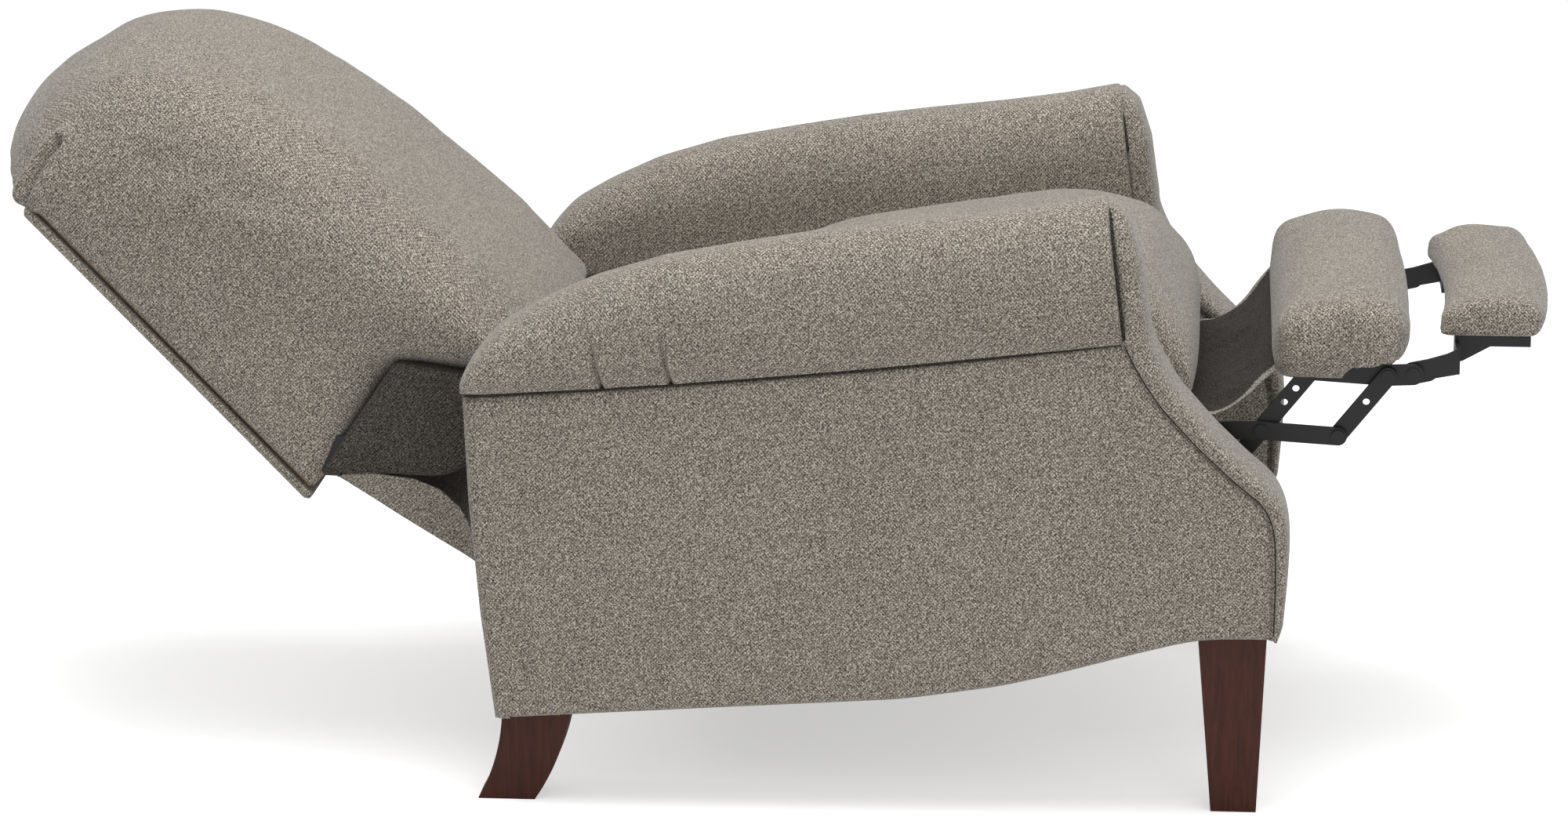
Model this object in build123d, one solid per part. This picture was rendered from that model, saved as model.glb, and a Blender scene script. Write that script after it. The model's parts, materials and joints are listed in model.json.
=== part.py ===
from build123d import *
from math import cos, sin, radians
import os

# A push-back recliner, leaned back with the leg rest out. Millimetres; X runs forward,
# Y to the sitter's left, Z up from the floor. Points in a side view are (X, Z).

# Across the chair, from the middle plane outwards
SEAT_CLEAR = 524  # between the two side boards
BOARD = 18  # side board
POST_DEPTH = 65  # arm post, across the arm
PANEL = 20  # outside arm panel with its padding
ROLL_INNER_LIP = 4  # arm roll past the side board, towards the sitter
ROLL_OUTER_LIP = 15  # arm roll past the outside panel

# Arm in side view
ARM_REAR = -289
HEEL = -260  # rear lower corner of the outside panel
ARM_FRONT = 360  # front end of the seam under the arm roll
KNUCKLE = 508  # front of the outside panel, low down
SEAM_REAR = 420
SEAM_SAG = 6
SEAM_FRONT = 484
HEEL_HEIGHT = 91
BELLY = 145  # where the lower edge starts to rise
BELLY_HEIGHT = 119
TOE = 433  # where the lower edge has risen
TOE_HEIGHT = 187
TOE_SLOPE = 0.22  # rise of the lower edge where it reaches the front leg
KNUCKLE_LOW = 300
KNUCKLE_HIGH = 325
KNUCKLE_BACK = 11  # how far the slope starts behind the knuckle
SLOPE_HOLLOW = 15  # how hollow the slope from knuckle to arm is
FACING_BULGE = 19
BOARD_INSET = 9  # side board inside the panel's outline
ROLL_GAP = 0.8  # roll above its seam
ARM_TOPS = [(-293, 434), (-270, 467), (-215, 511), (-120, 549), (30, 578), (200, 602), (366, 622)]
ROLL_WALL = 0.35  # part of the roll's height that stands upright

# Legs and rails
FRONT_LEG_SET = 2  # leg ahead of the end of the rise
FRONT_LEG_TOP = 68
FRONT_LEG_FOOT = 45
FRONT_LEG_DEPTH = 54
FRONT_LEG_FOOT_DEPTH = 34
FRONT_LEG_FOOT_SHIFT = 4  # foot ahead of the middle of the top
REAR_LEG_WIDTH = 46
REAR_LEG_TOP = 68
REAR_LEG_FOOT = 57
REAR_LEG_SWEEP = 25  # foot behind the top
REAR_LEG_CURVE = 6
POST_WIDTH = 50
RAIL = 25
STRETCHER_HEIGHT = 53
STRETCHER_FRONT = 310
REAR_RAIL_BACK = -262
BOLT_R = 4
BOLT_LENGTH = 70
HOLE_GAP = 0.1

# Steel
BASE_PLATE = 3
STEEL = 4
LAYER_GAP = 2
PIN_R = 5
RIVET_R = 4
HEAD_R = 7
FIT = 0.06  # running fit on a radius
HEAD_GAP = 0.3
LINK_WIDTH = 18
SWING_WIDTH = 26
BRACKET_WIDTH = 34
CONTROL_WIDTH = 16
TUBE_R = 12
TUBE_WALL = 2
SCREW_R = 3
SCREW_HEAD_R = 6
SCREW_HEAD = 1.6

# Pivots in side view
BACK_PIVOT = (-182, 346)
DRIVE_REACH = 65.8  # back pivot to the pin that pushes the seat
DRIVE_ANGLE = -70
SEAT_DROP = 12.1  # how far the pin climbs in its slot
SLOT_PLAY = 1.4
SLOT_DIP = 1.7  # how far the pin first dips in its slot
SWING = 120  # length of the links that carry the seat
SWING_ANGLE = 93.8
FRONT_SWING_FOOT = (230, 190)
REAR_SWING_FOOT = (-60, 190)
MAIN_PIVOT = (411, 346)
MAIN_BEND = (452, 371)
CROSSING = (494, 371)  # where the lift link crosses the main link
LIFT = 77
LIFT_ANGLE = 51.5
LIFT_TAIL = 45
REACH = 76  # along the main link, between lift and carrier link
REACH_ANGLE = -3.4
CONTROL_PIVOT = (384, 297.9)
FOOT_PIVOT = (643, 428)

# Seat
SEAT_BACK = -190
SEAT_FRONT = 434
SEAT_BOTTOM = 392
SEAT_CROWN = 553
SEAT_GAP = 9  # seat cushion inside the side boards
SEAT_SINK = 64  # how far the top draws in at the sides
FRAME_BACK = -90
FRAME_FRONT = 395
FRAME_BOTTOM = 390
FRAME_HEIGHT = 40
FRAME_GAP = 5  # seat rails inside the seat plates
CUSHION_GAP = 0.4
SPRING_ROOM = 12
SPRING_WIRE = 2
SPRING_LOOP = 42
SPRING_SWAY = 24
SPRING_SPACING = 96
SPRINGS = 4
TAIL_GAP = 5  # seat cushion behind the frame, inside the back brackets

# Back, measured down its rear face (s) and forward from it (n)
BACK_CORNER = (-465, 284)
BACK_LEAN = 45.8  # rear face above the horizontal
BACK_GAP = 7  # back inside the side boards
BACK_LENGTH = 422
BACK_ARCH = 45
BACK_DEEP = 286
BACK_CROWN = 16
BACK_NOTCH = (-30, 160)  # inner corner under the cushion, along and off the rear face
TUCK = 42  # how far the lower inside back falls away below the cushion
BACK_PANEL = 9
BACK_FRAME = 50
FRAME_SEAT = 1  # back frame in front of the outside panel
FRAME_SHORT = 20  # back frame below the top of the cushion
POST_GAP = 0.5  # back posts inside the brackets
BRACKET_GAP = 1  # cushion around the brackets
BACK_POST = 28
BACK_RAIL = 40
BACK_RIM = 9.6
STRAP = 50
STRAP_THICK = 2
STRAPS = 4
APRON = 2.5
APRON_GAP = 16  # apron inside the side boards

# Leg rest and foot rest
PAD_BACK = 504
PAD_FRONT = 649
PAD_BOTTOM = 421
PAD_TOP = 510
PAD_GAP = 6  # leg rest inside the side boards
PAD_WALL = 8
PAD_BOARD_UNDER = 445
PAD_BOARD = 15
FLANGE = 3
FOOT_BACK = 665
FOOT_FRONT = 768
FOOT_BOTTOM = 460
FOOT_TOP = 498
FOOT_HALF = 200
FOOT_INSET = 8  # board and irons inside the pad
FOOT_IRON = 38  # inner edge of the irons from the pad's end
FOOT_BOW = 13  # how far the middle bows forward
FOOT_BOARD = 10
FOOT_LIP = 10  # angle iron under the foot board
FOOT_CRANK = 46  # from the pivot to where the bracket turns inwards
FLAP = 2

HALF_CLEAR = SEAT_CLEAR / 2
SEAT_HALF = HALF_CLEAR - SEAT_GAP
BACK_HALF = HALF_CLEAR - BACK_GAP
PAD_HALF = HALF_CLEAR - PAD_GAP
APRON_HALF = HALF_CLEAR - APRON_GAP
POST_IN = HALF_CLEAR + BOARD
POST_OUT = POST_IN + POST_DEPTH
PANEL_OUT = POST_OUT + PANEL
# Rear upper corner of the arm's front facing
FACING_TOP = (ARM_FRONT - FACING_BULGE, ARM_TOPS[-1][1] - 3)


def layer(number):
    """Inner and outer distance from the middle plane of one steel layer; 0 is next to the base plate."""
    outer = HALF_CLEAR - BASE_PLATE - LAYER_GAP - number * (STEEL + LAYER_GAP)
    return outer - STEEL, outer


SWING_LAYER = layer(0)
SEAT_LAYER = layer(1)
MAIN_LAYER = layer(2)
LIFT_LAYER = layer(3)
PAD_LAYER = layer(4)
FOOT_LAYER = layer(5)
FRAME_HALF = SEAT_LAYER[0] - FRAME_GAP
TAIL_HALF = MAIN_LAYER[0] - TAIL_GAP
FLAP_HALF = FOOT_LAYER[0] - 1
FRAME_REAR = BACK_PANEL + FRAME_SEAT
FRAME_FACE = FRAME_REAR + BACK_FRAME
FRAME_LENGTH = BACK_LENGTH - FRAME_SHORT


def along(point, length, angle):
    """The side-view point at a length and angle from another."""
    return point[0] + length * cos(radians(angle)), point[1] + length * sin(radians(angle))


FRONT_SWING_TOP = along(FRONT_SWING_FOOT, SWING, SWING_ANGLE)
REAR_SWING_TOP = along(REAR_SWING_FOOT, SWING, SWING_ANGLE)
DRIVE_PIN = along(BACK_PIVOT, DRIVE_REACH, DRIVE_ANGLE)
CARRIER_FOOT = along(CROSSING, REACH, REACH_ANGLE)
PAD_PIVOT = along(CROSSING, LIFT, LIFT_ANGLE)
CARRIER_TOP = along(CARRIER_FOOT, LIFT, LIFT_ANGLE)
LIFT_END = along(CROSSING, -LIFT_TAIL, LIFT_ANGLE)


def back_point(s, n):
    """Side-view point s down the back's rear face and n forward of it."""
    return along(along(BACK_CORNER, s, -BACK_LEAN), n, 90 - BACK_LEAN)


def slab(face, near, far):
    """A side-view face made solid between two distances from the middle plane."""
    return extrude(Plane.XZ.offset(-near) * face, amount=far - near, dir=(0, 1, 0))


def polygon(*points, radius=0):
    """Side-view face with straight sides and rounded corners."""
    if radius:
        return make_face(FilletPolyline(*points, radius=radius, close=True))
    return make_face(Polyline(*points, close=True))


def strip(width, *points):
    """Side-view face of a flat link: bars with round ends through the points."""
    face = Pos(*points[0]) * Circle(width / 2)
    for start, end in zip(points, points[1:]):
        bar = Vector(*end) - Vector(*start)
        middle = (Vector(*end) + Vector(*start)) / 2
        turn = Vector(1, 0).get_signed_angle(bar, Vector(0, 0, 1))
        face += Pos(middle.X, middle.Y) * Rot(0, 0, turn) * Rectangle(bar.length, width)
        face += Pos(*end) * Circle(width / 2)
    return face


def holes(radius, *points):
    """Side-view discs to cut from a link."""
    return [Pos(*point) * Circle(radius) for point in points]


def disc(point, radius, near, far):
    """A cylinder across the chair."""
    return slab(Pos(*point) * Circle(radius), near, far)


def both(solid):
    """The solid and its mirror image, left one first."""
    return solid, mirror(solid, about=Plane.XZ)


def box(x, y, z):
    """A box from three (low, high) pairs."""
    sides = [high - low for low, high in (x, y, z)]
    return Pos(*[(low + high) / 2 for low, high in (x, y, z)]) * Box(*sides)


PARTS = {}


def keep(name, *solids):
    """Put one node in the assembly; several solids make a group."""
    PARTS[name] = solids


def keep_pair(name, solid):
    """Put a left and a right node in the assembly."""
    left, right = both(solid)
    keep(name + "_left", left)
    keep(name + "_right", right)


def front_edge(inset=0):
    """Front edge of the arm in side view, from the toe up to the seam's front end."""
    toe = (KNUCKLE - inset, TOE_HEIGHT + inset)
    low = (KNUCKLE - inset, KNUCKLE_LOW)
    high = (KNUCKLE - KNUCKLE_BACK - inset, KNUCKLE_HIGH - inset)
    top = (ARM_FRONT - inset, SEAM_FRONT - inset)
    bend = ((low[0] * 3 + high[0]) / 4, (low[1] + high[1]) / 2)
    hollow = ((high[0] + top[0]) / 2 - SLOPE_HOLLOW * 0.76, (high[1] + top[1]) / 2 - SLOPE_HOLLOW * 0.65)
    return [Line(toe, low), ThreePointArc(low, bend, high), ThreePointArc(high, hollow, top)]


def arm_outline(inset=0):
    """Outside panel in side view, or a board of the same form inside it."""
    rear = (ARM_REAR + inset, SEAM_REAR - inset)
    heel = (HEEL + inset, HEEL_HEIGHT + inset)
    belly = (BELLY, BELLY_HEIGHT + inset)
    toe = (TOE, TOE_HEIGHT + inset)
    rear_bow = ((rear[0] * 3 + heel[0]) / 4, (rear[1] + heel[1]) / 2)
    seam_middle = ((ARM_REAR + ARM_FRONT) / 2, (SEAM_REAR + SEAM_FRONT) / 2 - SEAM_SAG - inset)
    rise = Spline(belly, toe, tangents=[(belly[0] - heel[0], belly[1] - heel[1]), (1, TOE_SLOPE)])
    edges = [ThreePointArc(rear, rear_bow, heel), Line(heel, belly), rise]
    edges += [Line(toe, (KNUCKLE - inset, toe[1])), *front_edge(inset)]
    edges += [ThreePointArc((ARM_FRONT - inset, SEAM_FRONT - inset), seam_middle, rear)]
    return make_face(edges)


def seam_height(x):
    """Height of the seam under the arm roll."""
    part = (x - ARM_REAR) / (ARM_FRONT - ARM_REAR)
    return SEAM_REAR + (SEAM_FRONT - SEAM_REAR) * part - 4 * SEAM_SAG * part * (1 - part)


def roll_section(x, top):
    """Cross-section of the arm roll: upright walls under an arch."""
    inner = HALF_CLEAR - ROLL_INNER_LIP
    outer = PANEL_OUT + ROLL_OUTER_LIP
    low = seam_height(x) + ROLL_GAP
    spring = low + (top - low) * ROLL_WALL
    middle = (inner + outer) / 2
    half = (outer - inner) / 2
    edges = [
        Line((inner, low), (outer, low)),
        Line((outer, low), (outer, spring)),
        EllipticalCenterArc((middle, spring), half, top - spring, start_angle=0, arc_size=90),
        EllipticalCenterArc((middle, spring), half, top - spring, start_angle=90, arc_size=90),
        Line((inner, spring), (inner, low)),
    ]
    return Plane.YZ.offset(x) * make_face(edges)


def facing_section(y, swell):
    """Front facing of the arm in side view, a strip that swells forward of the seam."""
    top = ARM_TOPS[-1]
    back_top = FACING_TOP
    inner = front_edge()
    bulge = FACING_BULGE * swell
    slope = ((KNUCKLE + ARM_FRONT) / 2, (KNUCKLE_HIGH + SEAM_FRONT) / 2)
    outer = Spline(
        (KNUCKLE, TOE_HEIGHT),
        (KNUCKLE + bulge * 0.6, TOE_HEIGHT + 4),
        (KNUCKLE + bulge, (TOE_HEIGHT + KNUCKLE_HIGH) / 2 + 20),
        (KNUCKLE - KNUCKLE_BACK + bulge * 0.6, KNUCKLE_HIGH + bulge * 1.2),
        (slope[0] + bulge * 0.9 - SLOPE_HOLLOW / 2, slope[1] - 14 + bulge * 0.7),
        (ARM_FRONT + 6 + bulge * 1.4, SEAM_FRONT - 10),
        (ARM_FRONT - 9 + bulge * 1.2, (SEAM_FRONT + top[1]) / 2),
        (back_top[0] + bulge * 0.5, top[1] - 2 + bulge * 0.2),
        back_top,
    )
    return Plane.XZ.offset(-y) * make_face([*inner, Line(inner[-1] @ 1, back_top), outer])


def facing_arch(near, far):
    """Space under the arched top of the facing, as seen from the front."""
    top = ARM_TOPS[-1][1] + 4
    spring = SEAM_FRONT + (top - SEAM_FRONT) * ROLL_WALL
    middle = ((near + far) / 2, spring)
    half = (far - near) / 2
    edges = [
        Line((near, 0), (far, 0)),
        Line((far, 0), (far, spring)),
        EllipticalCenterArc(middle, half, top - spring, start_angle=0, arc_size=90),
        EllipticalCenterArc(middle, half, top - spring, start_angle=90, arc_size=90),
        Line((near, spring), (near, 0)),
    ]
    return extrude(Plane.YZ.offset(0) * make_face(edges), amount=KNUCKLE + 2 * FACING_BULGE, dir=(1, 0, 0))


def arm():
    """Side board, posts, outside panel, roll and front facing of both arms."""
    keep_pair("side_board", slab(arm_outline(BOARD_INSET), HALF_CLEAR, POST_IN))
    keep_pair("outside_arm_panel", slab(arm_outline(), POST_OUT, PANEL_OUT))
    roll = loft([roll_section(x, top) for x, top in ARM_TOPS])
    top, low = FACING_TOP[1] + PANEL, SEAM_FRONT - PANEL
    lean = (ARM_FRONT - FACING_TOP[0]) / (FACING_TOP[1] - SEAM_FRONT)
    ahead = polygon((ARM_FRONT + PANEL * lean - HEAD_GAP, low),
                    (FACING_TOP[0] - PANEL * lean - HEAD_GAP, top), (KNUCKLE, top), (KNUCKLE, low))
    roll -= slab(ahead, 0, PANEL_OUT + PANEL)
    keep_pair("arm_roll", roll)
    near, far = HALF_CLEAR, PANEL_OUT + ROLL_OUTER_LIP / 3
    swells = [(0, 0.4), (0.12, 0.8), (0.5, 1), (0.88, 0.8), (1, 0.4)]
    facing = loft([facing_section(near + part * (far - near), swell) for part, swell in swells])
    keep_pair("arm_facing", facing & facing_arch(near, far))


def leg_parts():
    """Tapered front legs, sabre rear legs, the posts over them and the bolts between."""
    middle = (POST_IN + POST_OUT) / 2
    front_x = TOE + FRONT_LEG_SET + FRONT_LEG_TOP / 2
    rear_x = HEEL + REAR_LEG_TOP / 2 + 4
    top = Pos(front_x, middle, TOE_HEIGHT) * Rectangle(FRONT_LEG_TOP, FRONT_LEG_DEPTH)
    foot = Pos(front_x + FRONT_LEG_FOOT_SHIFT, middle - (FRONT_LEG_DEPTH - FRONT_LEG_FOOT_DEPTH) / 3, 0)
    foot *= Rectangle(FRONT_LEG_FOOT, FRONT_LEG_FOOT_DEPTH)
    front_leg = loft([foot, top])
    back, front = rear_x - REAR_LEG_TOP / 2, rear_x + REAR_LEG_TOP / 2
    heel = back - REAR_LEG_SWEEP
    toe = heel + REAR_LEG_FOOT
    half = HEEL_HEIGHT / 2
    sabre = make_face([
        ThreePointArc((back, HEEL_HEIGHT), ((back + heel) / 2 + REAR_LEG_CURVE, half), (heel, 0)),
        Line((heel, 0), (toe, 0)),
        ThreePointArc((toe, 0), ((front + toe) / 2 + REAR_LEG_CURVE, half), (front, HEEL_HEIGHT)),
        Line((front, HEEL_HEIGHT), (back, HEEL_HEIGHT)),
    ])
    rear_leg = slab(sabre, middle - REAR_LEG_WIDTH / 2, middle + REAR_LEG_WIDTH / 2)
    front_post = box((front_x - POST_WIDTH / 2, front_x + POST_WIDTH / 2), (POST_IN, POST_OUT),
                     (TOE_HEIGHT, KNUCKLE_LOW))
    rear_post = box((rear_x - POST_WIDTH / 2, rear_x + POST_WIDTH / 2), (POST_IN, POST_OUT),
                    (HEEL_HEIGHT, SEAM_REAR - 2 * BOARD_INSET))
    posts, bolts = [], []
    for name, leg, post, x, z in (("front_leg", front_leg, front_post, front_x, TOE_HEIGHT),
                                  ("rear_leg", rear_leg, rear_post, rear_x, HEEL_HEIGHT)):
        hole = Pos(x, middle, z) * Cylinder(BOLT_R + HOLE_GAP, BOLT_LENGTH)
        bolts += both(Pos(x, middle, z) * Cylinder(BOLT_R, BOLT_LENGTH))
        posts += both(post - hole)
        keep_pair(name, leg - hole)
    keep("arm_posts", *posts)
    keep("leg_bolts", *bolts)


def base_rails():
    """The two wooden rails that join the arms."""
    across = (-HALF_CLEAR, HALF_CLEAR)
    low = BELLY_HEIGHT + 1.3 * RAIL
    keep("front_stretcher", box((STRETCHER_FRONT - RAIL, STRETCHER_FRONT), across,
                                (low, low + STRETCHER_HEIGHT)))
    keep("rear_rail", box((REAR_RAIL_BACK, REAR_RAIL_BACK + RAIL), across,
                          (HEEL_HEIGHT + 6, HEEL_HEIGHT + 6 + STRETCHER_HEIGHT)))


def base_mechanism():
    """Steel plates on the side boards, their screws and the pins that carry the links and the back."""
    foot, front = REAR_SWING_FOOT, FRONT_SWING_FOOT
    outline = polygon(
        (BACK_PIVOT[0] - 33, BACK_PIVOT[1] + 26), (BACK_PIVOT[0] + 33, BACK_PIVOT[1] + 26),
        (foot[0] - 30, foot[1] + 62), (front[0] - 20, front[1] + 45), (front[0] + 32, front[1] + 25),
        (front[0] + 32, front[1] - 30), (foot[0] - 30, foot[1] - 30),
        (BACK_PIVOT[0] - 33, BACK_PIVOT[1] - 40), radius=14)
    inner = HALF_CLEAR - BASE_PLATE
    spots = [(BACK_PIVOT[0] - 16, BACK_PIVOT[1] - 44), (foot[0] + 40, foot[1] + 35),
             ((foot[0] + front[0]) / 2, foot[1] - 8), (front[0] - 45, front[1] + 24)]
    outline -= holes(PIN_R + HOLE_GAP, foot, front, BACK_PIVOT)
    outline -= holes(SCREW_R + HOLE_GAP, *spots)
    outline -= strip(20, (foot[0] + 70, foot[1] + 10), (front[0] - 150, front[1] + 10))
    keep_pair("base_plate", slab(outline, inner, HALF_CLEAR))
    screws = []
    for spot in spots:
        screw = disc(spot, SCREW_R, inner - 1, HALF_CLEAR)
        screws += both(screw + disc(spot, SCREW_HEAD_R, inner - SCREW_HEAD, inner))
    keep("base_plate_screws", *screws)
    pins = []
    low = SWING_LAYER[0] - HEAD_GAP
    for spot in (foot, front):
        pins += both(disc(spot, PIN_R, low, HALF_CLEAR) + disc(spot, HEAD_R + 2, low - 2, low))
    low = MAIN_LAYER[0] - HEAD_GAP
    back_pin = disc(BACK_PIVOT, PIN_R, low, HALF_CLEAR) + disc(BACK_PIVOT, HEAD_R + 2, low - 2, low)
    back_pin += disc(BACK_PIVOT, HEAD_R + 3, MAIN_LAYER[1] + HEAD_GAP, inner - HEAD_GAP)
    keep("base_pins", *pins, *both(back_pin))


def swing_links():
    """Two pairs of equal links that carry the seat."""
    for name, foot, top in (("front_swing_links", FRONT_SWING_FOOT, FRONT_SWING_TOP),
                            ("rear_swing_links", REAR_SWING_FOOT, REAR_SWING_TOP)):
        face = strip(SWING_WIDTH, foot, top)
        face -= holes(PIN_R + FIT, foot, top)
        keep(name, *both(slab(face, *SWING_LAYER)))


def seat_plates():
    """Steel side plates of the seat with the slot for the drive pin, and the tubes between them."""
    pin, front = DRIVE_PIN, MAIN_PIVOT
    top = FRAME_BOTTOM - FLANGE
    face = polygon(
        (pin[0] - 19, pin[1] - 16), (pin[0] + 19, pin[1] - 16),
        (REAR_SWING_TOP[0], REAR_SWING_TOP[1] - 18), (FRONT_SWING_TOP[0], FRONT_SWING_TOP[1] - 18),
        (CONTROL_PIVOT[0] - 14, CONTROL_PIVOT[1] - 15), (CONTROL_PIVOT[0] + 14, CONTROL_PIVOT[1] - 13),
        (front[0] + 17, front[1] - 8), (front[0] + 17, front[1] + 14),
        (FRAME_FRONT - 8, top), (FRAME_BACK + 8, top), (pin[0] - 19, pin[1] + 30), radius=8)
    face -= strip(2 * (PIN_R + SLOT_PLAY), (pin[0], pin[1] - SLOT_DIP), (pin[0], pin[1] + SEAT_DROP))
    face -= holes(PIN_R + HOLE_GAP, FRONT_SWING_TOP, REAR_SWING_TOP, MAIN_PIVOT, CONTROL_PIVOT)
    tubes = [(FRONT_SWING_TOP[0] + 60, top - 45), (REAR_SWING_TOP[0] + 60, top - 45)]
    face -= strip(24, (tubes[1][0] + 60, top - 40), (tubes[0][0] - 60, top - 40))
    plate = slab(face, *SEAT_LAYER)
    plate += box((FRAME_BACK + 20, FRAME_FRONT - 20), (FRAME_HALF - 25, SEAT_LAYER[1]), (top - FLANGE, top))
    keep_pair("seat_plate", plate)
    width = 2 * (SEAT_LAYER[0] - HOLE_GAP)
    bars = [slab(Pos(*spot) * (Circle(TUBE_R) - Circle(TUBE_R - TUBE_WALL)), -width / 2, width / 2)
            for spot in tubes]
    keep("seat_cross_tubes", *bars)
    pins = []
    head = SWING_LAYER[1] + HEAD_GAP
    for spot in (FRONT_SWING_TOP, REAR_SWING_TOP):
        pins += both(disc(spot, PIN_R, SEAT_LAYER[0], head) + disc(spot, HEAD_R, head, head + 1.4))
    for spot, low in ((MAIN_PIVOT, MAIN_LAYER[0]), (CONTROL_PIVOT, PAD_LAYER[0])):
        low -= HEAD_GAP
        pins += both(disc(spot, PIN_R, low, SEAT_LAYER[1]) + disc(spot, HEAD_R, low - 1.4, low))
    keep("seat_pins", *pins)


def seat_frame():
    """Wooden rails on the seat plates and the sinuous springs across them."""
    low = FRAME_BOTTOM - FLANGE
    height = (low, low + FRAME_HEIGHT)
    inner = FRAME_HALF - RAIL
    side = box((FRAME_BACK, FRAME_FRONT), (inner, FRAME_HALF), height)
    keep("seat_side_rails", *both(side))
    keep("seat_front_rail", box((FRAME_FRONT - RAIL, FRAME_FRONT), (-inner, inner), height))
    keep("seat_rear_rail", box((FRAME_BACK, FRAME_BACK + RAIL), (-inner, inner), height))
    start, end = FRAME_BACK + RAIL / 2, FRAME_FRONT - RAIL / 2
    loops = round((end - start) / SPRING_LOOP)
    step = (end - start) / loops
    points = [(start, 0)]
    for loop in range(loops):
        side = SPRING_SWAY if loop % 2 else -SPRING_SWAY
        points += [(start + loop * step, side), (start + (loop + 1) * step, side)]
    points.append((end, 0))
    path = FilletPolyline(*points, radius=step * 0.45)
    wire = sweep(Plane(path @ 0, z_dir=path % 0) * Circle(SPRING_WIRE), path=path)
    rest = height[1] + SPRING_WIRE + HOLE_GAP
    places = [(index - (SPRINGS - 1) / 2) * SPRING_SPACING for index in range(SPRINGS)]
    keep("seat_springs", *[Pos(0, y, rest) * wire for y in places])


def seat_section(y, sink, draw):
    """Seat cushion in side view at one place across; sink lowers the top, draw pulls the ends in."""
    height = SEAT_CROWN - SEAT_BOTTOM
    scale = 1 - sink / height
    outline = [
        ((SEAT_BACK + draw, SEAT_BOTTOM + 4), 8),
        ((SEAT_FRONT - 8 - draw, SEAT_BOTTOM), 14 * scale),
        ((SEAT_FRONT - draw, SEAT_BOTTOM + height * 0.36 * scale), 60 * scale),
        ((SEAT_FRONT - 42 - draw, SEAT_BOTTOM + height * 0.9 * scale), 44 * scale),
        ((SEAT_FRONT - 116, SEAT_BOTTOM + height * scale), 150 * scale),
        ((SEAT_FRONT - 374, SEAT_BOTTOM + height * 0.72 - sink * 0.45), 250),
        ((FRAME_BACK - 20, SEAT_BOTTOM + 46), 40),
        ((SEAT_BACK + draw, SEAT_BOTTOM + 31), 8),
    ]
    points = [point for point, _ in outline]
    face = make_face(FilletPolyline(*points, radius=[radius for _, radius in outline], close=True))
    return Plane.XZ.offset(-y) * face


def seat_cushion():
    """Crowned seat cushion, hollowed over the frame and springs, narrowed between the back brackets."""
    steps = [(0, 0, 0), (0.5, 0.05, 0), (0.8, 0.27, 0.1), (0.95, 0.62, 0.45), (1, 1, 1)]
    rows = [(-part, sink, draw) for part, sink, draw in reversed(steps[1:])] + steps
    form = loft([seat_section(part * SEAT_HALF, sink * SEAT_SINK, draw * 22) for part, sink, draw in rows])
    top = FRAME_BOTTOM - FLANGE + FRAME_HEIGHT
    half = FRAME_HALF + CUSHION_GAP
    ends = (FRAME_BACK - CUSHION_GAP, FRAME_FRONT + CUSHION_GAP)
    form -= box(ends, (-half, half), (SEAT_BOTTOM - 10, top + CUSHION_GAP))
    room = (FRAME_HALF - RAIL, top + SPRING_ROOM)
    form -= box(ends, (-room[0], room[0]), (top - 10, room[1]))
    beside = box((SEAT_BACK - 10, ends[0]), (TAIL_HALF, SEAT_HALF + 10), (SEAT_BOTTOM - 10, SEAT_CROWN))
    for side in both(beside):
        form -= side
    keep("seat_cushion", form)


def front_flap():
    """Cloth strip from under the seat's front rail to the leg rest, sagging between them."""
    low = FRAME_BOTTOM - FLANGE - HEAD_GAP
    points = [(FRAME_FRONT - 15, low), (SEAT_FRONT - 6, low - 8), (PAD_BACK - 26, low + 8),
              (PAD_BACK + 2, PAD_BOTTOM - 2 * HEAD_GAP), (PAD_BACK + 20, PAD_BOTTOM - 2 * HEAD_GAP)]
    under = [(x, z - FLAP) for x, z in reversed(points)]
    radii = [0, 30, 30, 6, 0, 0, 6, 30, 30, 0]
    keep("leg_rest_flap", slab(polygon(*points, *under, radius=radii), -FLAP_HALF, FLAP_HALF))


def back_frame():
    """Posts, rails and webbing of the back, with the steel brackets that pivot on the base plates."""
    length, depth = FRAME_LENGTH, (FRAME_REAR, FRAME_FACE)
    outer = MAIN_LAYER[0] - POST_GAP
    inner = outer - BACK_POST
    keep("back_posts", *both(back_block((-length, -5), depth, inner, outer)))
    keep("back_top_rail", back_block((-length, BACK_RAIL - length), depth, -inner, inner))
    keep("back_lower_rail", back_block((-20 - BACK_RAIL, -20), depth, -inner, inner))
    pitch = (length - 2 * BACK_RAIL - 40) / STRAPS
    straps = []
    for index in range(STRAPS):
        top = BACK_RAIL + 20 - length + index * pitch
        straps.append(back_block((top, top + STRAP), (FRAME_FACE, FRAME_FACE + STRAP_THICK), -outer, outer))
    keep("back_webbing", *straps)
    width = BACK_HALF - BACK_RIM
    keep("outside_back_panel", back_block((-length, -4), (0.5, BACK_PANEL), -width, width))
    face = bracket_outline(0)
    face += strip(26, BACK_PIVOT, DRIVE_PIN)
    face -= holes(PIN_R + FIT, BACK_PIVOT)
    keep_pair("back_bracket", slab(face, *MAIN_LAYER))
    pin = disc(DRIVE_PIN, PIN_R, MAIN_LAYER[1], SEAT_LAYER[1] + 1)
    keep("drive_pins", *both(pin))


def back_block(s, n, near, far):
    """A block that lies square to the back, from (low, high) pairs along its rear face and off it."""
    corners = [(s[0], n[0]), (s[1], n[0]), (s[1], n[1]), (s[0], n[1])]
    return slab(polygon(*[back_point(*corner) for corner in corners]), near, far)


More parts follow.
